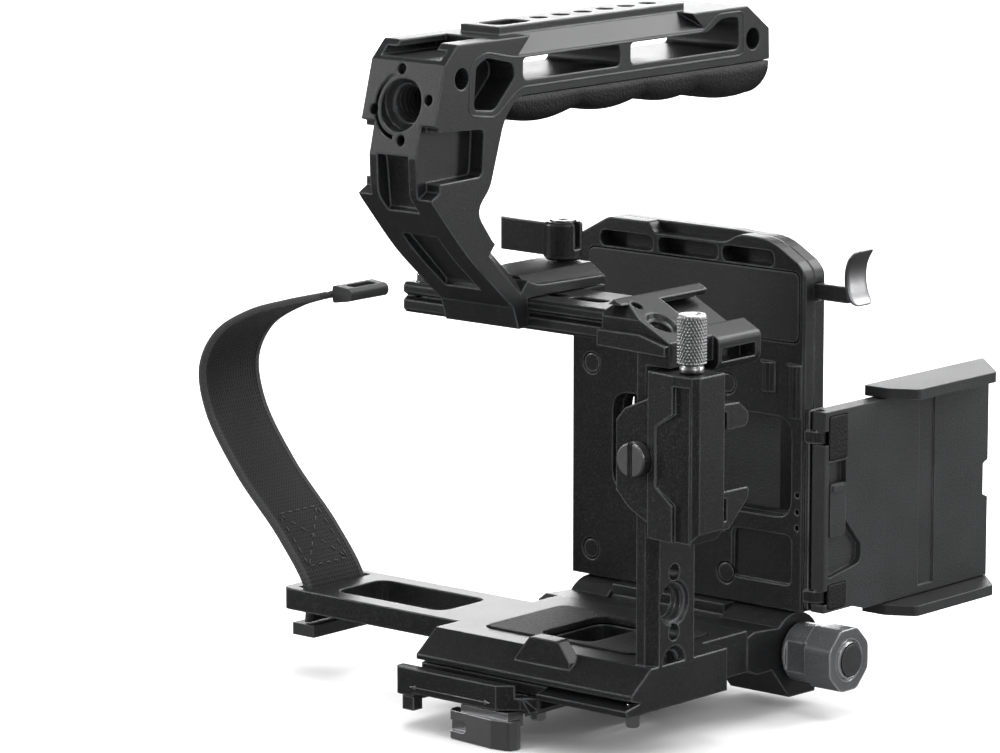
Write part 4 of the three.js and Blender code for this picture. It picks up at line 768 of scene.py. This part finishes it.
def on_band(along_mm, across_mm, lift):
    """Points in drawing millimetres, lift outwards from the band's middle surface."""
    x, z = (np.interp(along_mm, reach, line[:, column]) for column in (0, 1))
    out_x, out_z = (np.interp(along_mm, reach, outward[:, column]) for column in (0, 1))
    return np.stack([x + out_x * lift, STRAP_MIDDLE_Y + across_mm, z + out_z * lift], axis=-1)


total = float(reach[-1])
sewn = [box_cross(14, 30, SEAM_HALF_WIDTH), box_cross(total - 24, total - 6, SEAM_HALF_WIDTH)]
centres, headings = (np.vstack(both) for both in zip(*sewn))
share = np.linspace(-1, 1, 9)
around = ring(8)
for sign, side_name in ((1, "outer"), (-1, "inner")):
    fat = STITCH_HALF_THICK * np.sqrt(np.clip(1 - share**2, 0, 1))[None, :, None]
    lengthwise = (share * STITCH_LENGTH / 2)[None, :, None]
    sideways = fat * np.cos(around)
    ahead_mm = centres[:, :1, None] + headings[:, :1, None] * lengthwise - headings[:, 1:, None] * sideways
    side_mm = centres[:, 1:, None] + headings[:, 1:, None] * lengthwise + headings[:, :1, None] * sideways
    rise = sign * (STITCH_LIFT + fat * np.sin(around) * STITCH_FLATNESS) + 0 * ahead_mm
    stitches = place(on_band(ahead_mm, side_mm, rise))
    count, rows, columns = stitches.shape[:3]
    first_points = np.arange(count)[:, None, None] * rows * columns
    faces = (ring_faces(rows, columns)[None] + first_points).reshape(-1, 4)
    mesh_piece(f"strap_stitches_{side_name}", stitches.reshape(-1, 3), faces, "plastic", "cage")

# %% [markdown]
# ## Light and floor
# A black product is seen by what it mirrors. One bright dome could light it, but everything would go grey, so
# each soft source stands where one kind of face looks: high behind for the bevels, low behind for the tops
# and the right sides, and in front on the left for the fronts. The floor and the surroundings are pale and
# plain, and the metal mirrors the surroundings faintly and the floor not at all.


# %% Studio
LIT_POINT = (-0.02, 0.03, 0.08)
MIRRORED_LEVEL = 0.09
FLOOR_REACH = 3
FLOOR_GAP = 0.0003


def softbox(name, spot, size, power):
    """A rectangular lamp that looks at the rig's middle. Spot and size are in metres, power in watts."""
    lamp = bpy.data.lights.new(name, "AREA")
    lamp.shape = "RECTANGLE"
    lamp.size, lamp.size_y = size
    lamp.energy = power
    stand = bpy.data.objects.new(name, lamp)
    stand.location = spot
    stand.rotation_mode = "QUATERNION"
    stand.rotation_quaternion = (Vector(LIT_POINT) - Vector(spot)).to_track_quat("-Z", "Y")
    stand.visible_camera = False
    bpy.context.scene.collection.objects.link(stand)


softbox("overhead", (-0.1, 0.1, 1.2), (0.6, 0.8), 10)
softbox("back_top", (0.35, 1.1, 1.0), (1.1, 0.7), 15)
softbox("back_horizon", (-1.0, 1.25, 0.35), (1.0, 0.4), 9)
softbox("back_right", (1.0, 1.0, 0.3), (0.25, 0.5), 3.4)
softbox("front_left", (-1.15, -0.8, 0.5), (0.2, 0.7), 6.5)
softbox("right_side", (1.3, -0.35, 0.75), (0.18, 0.8), 4)

world = bpy.data.worlds.new("studio")
bpy.context.scene.world = world
world.use_nodes = True
surround = world.node_tree.nodes["Background"]
surround.inputs["Color"].default_value = (1, 1, 1, 1)
path_kind = world.node_tree.nodes.new("ShaderNodeLightPath")
level = world.node_tree.nodes.new("ShaderNodeMapRange")
level.inputs["To Min"].default_value = 1.0
level.inputs["To Max"].default_value = MIRRORED_LEVEL
world.node_tree.links.new(path_kind.outputs["Is Glossy Ray"], level.inputs["Value"])
world.node_tree.links.new(level.outputs["Result"], surround.inputs["Strength"])

floor_mesh = bpy.data.meshes.new("studio_floor")
ground = cad_box[0][2] - FLOOR_GAP
signs = [(-1, -1), (1, -1), (1, 1), (-1, 1)]
floor_mesh.from_pydata([(FLOOR_REACH * x, FLOOR_REACH * y, ground) for x, y in signs], [], [(0, 1, 2, 3)])
floor = bpy.data.objects.new("studio_floor", floor_mesh)
bpy.context.scene.collection.objects.link(floor)
floor_mesh.materials.append(Finish("pale floor", Base_Color=(0.93, 0.93, 0.93), Roughness=0.9).material)
floor.visible_glossy = False
bpy.context.scene.view_settings.view_transform = "Standard"
print("studio set")
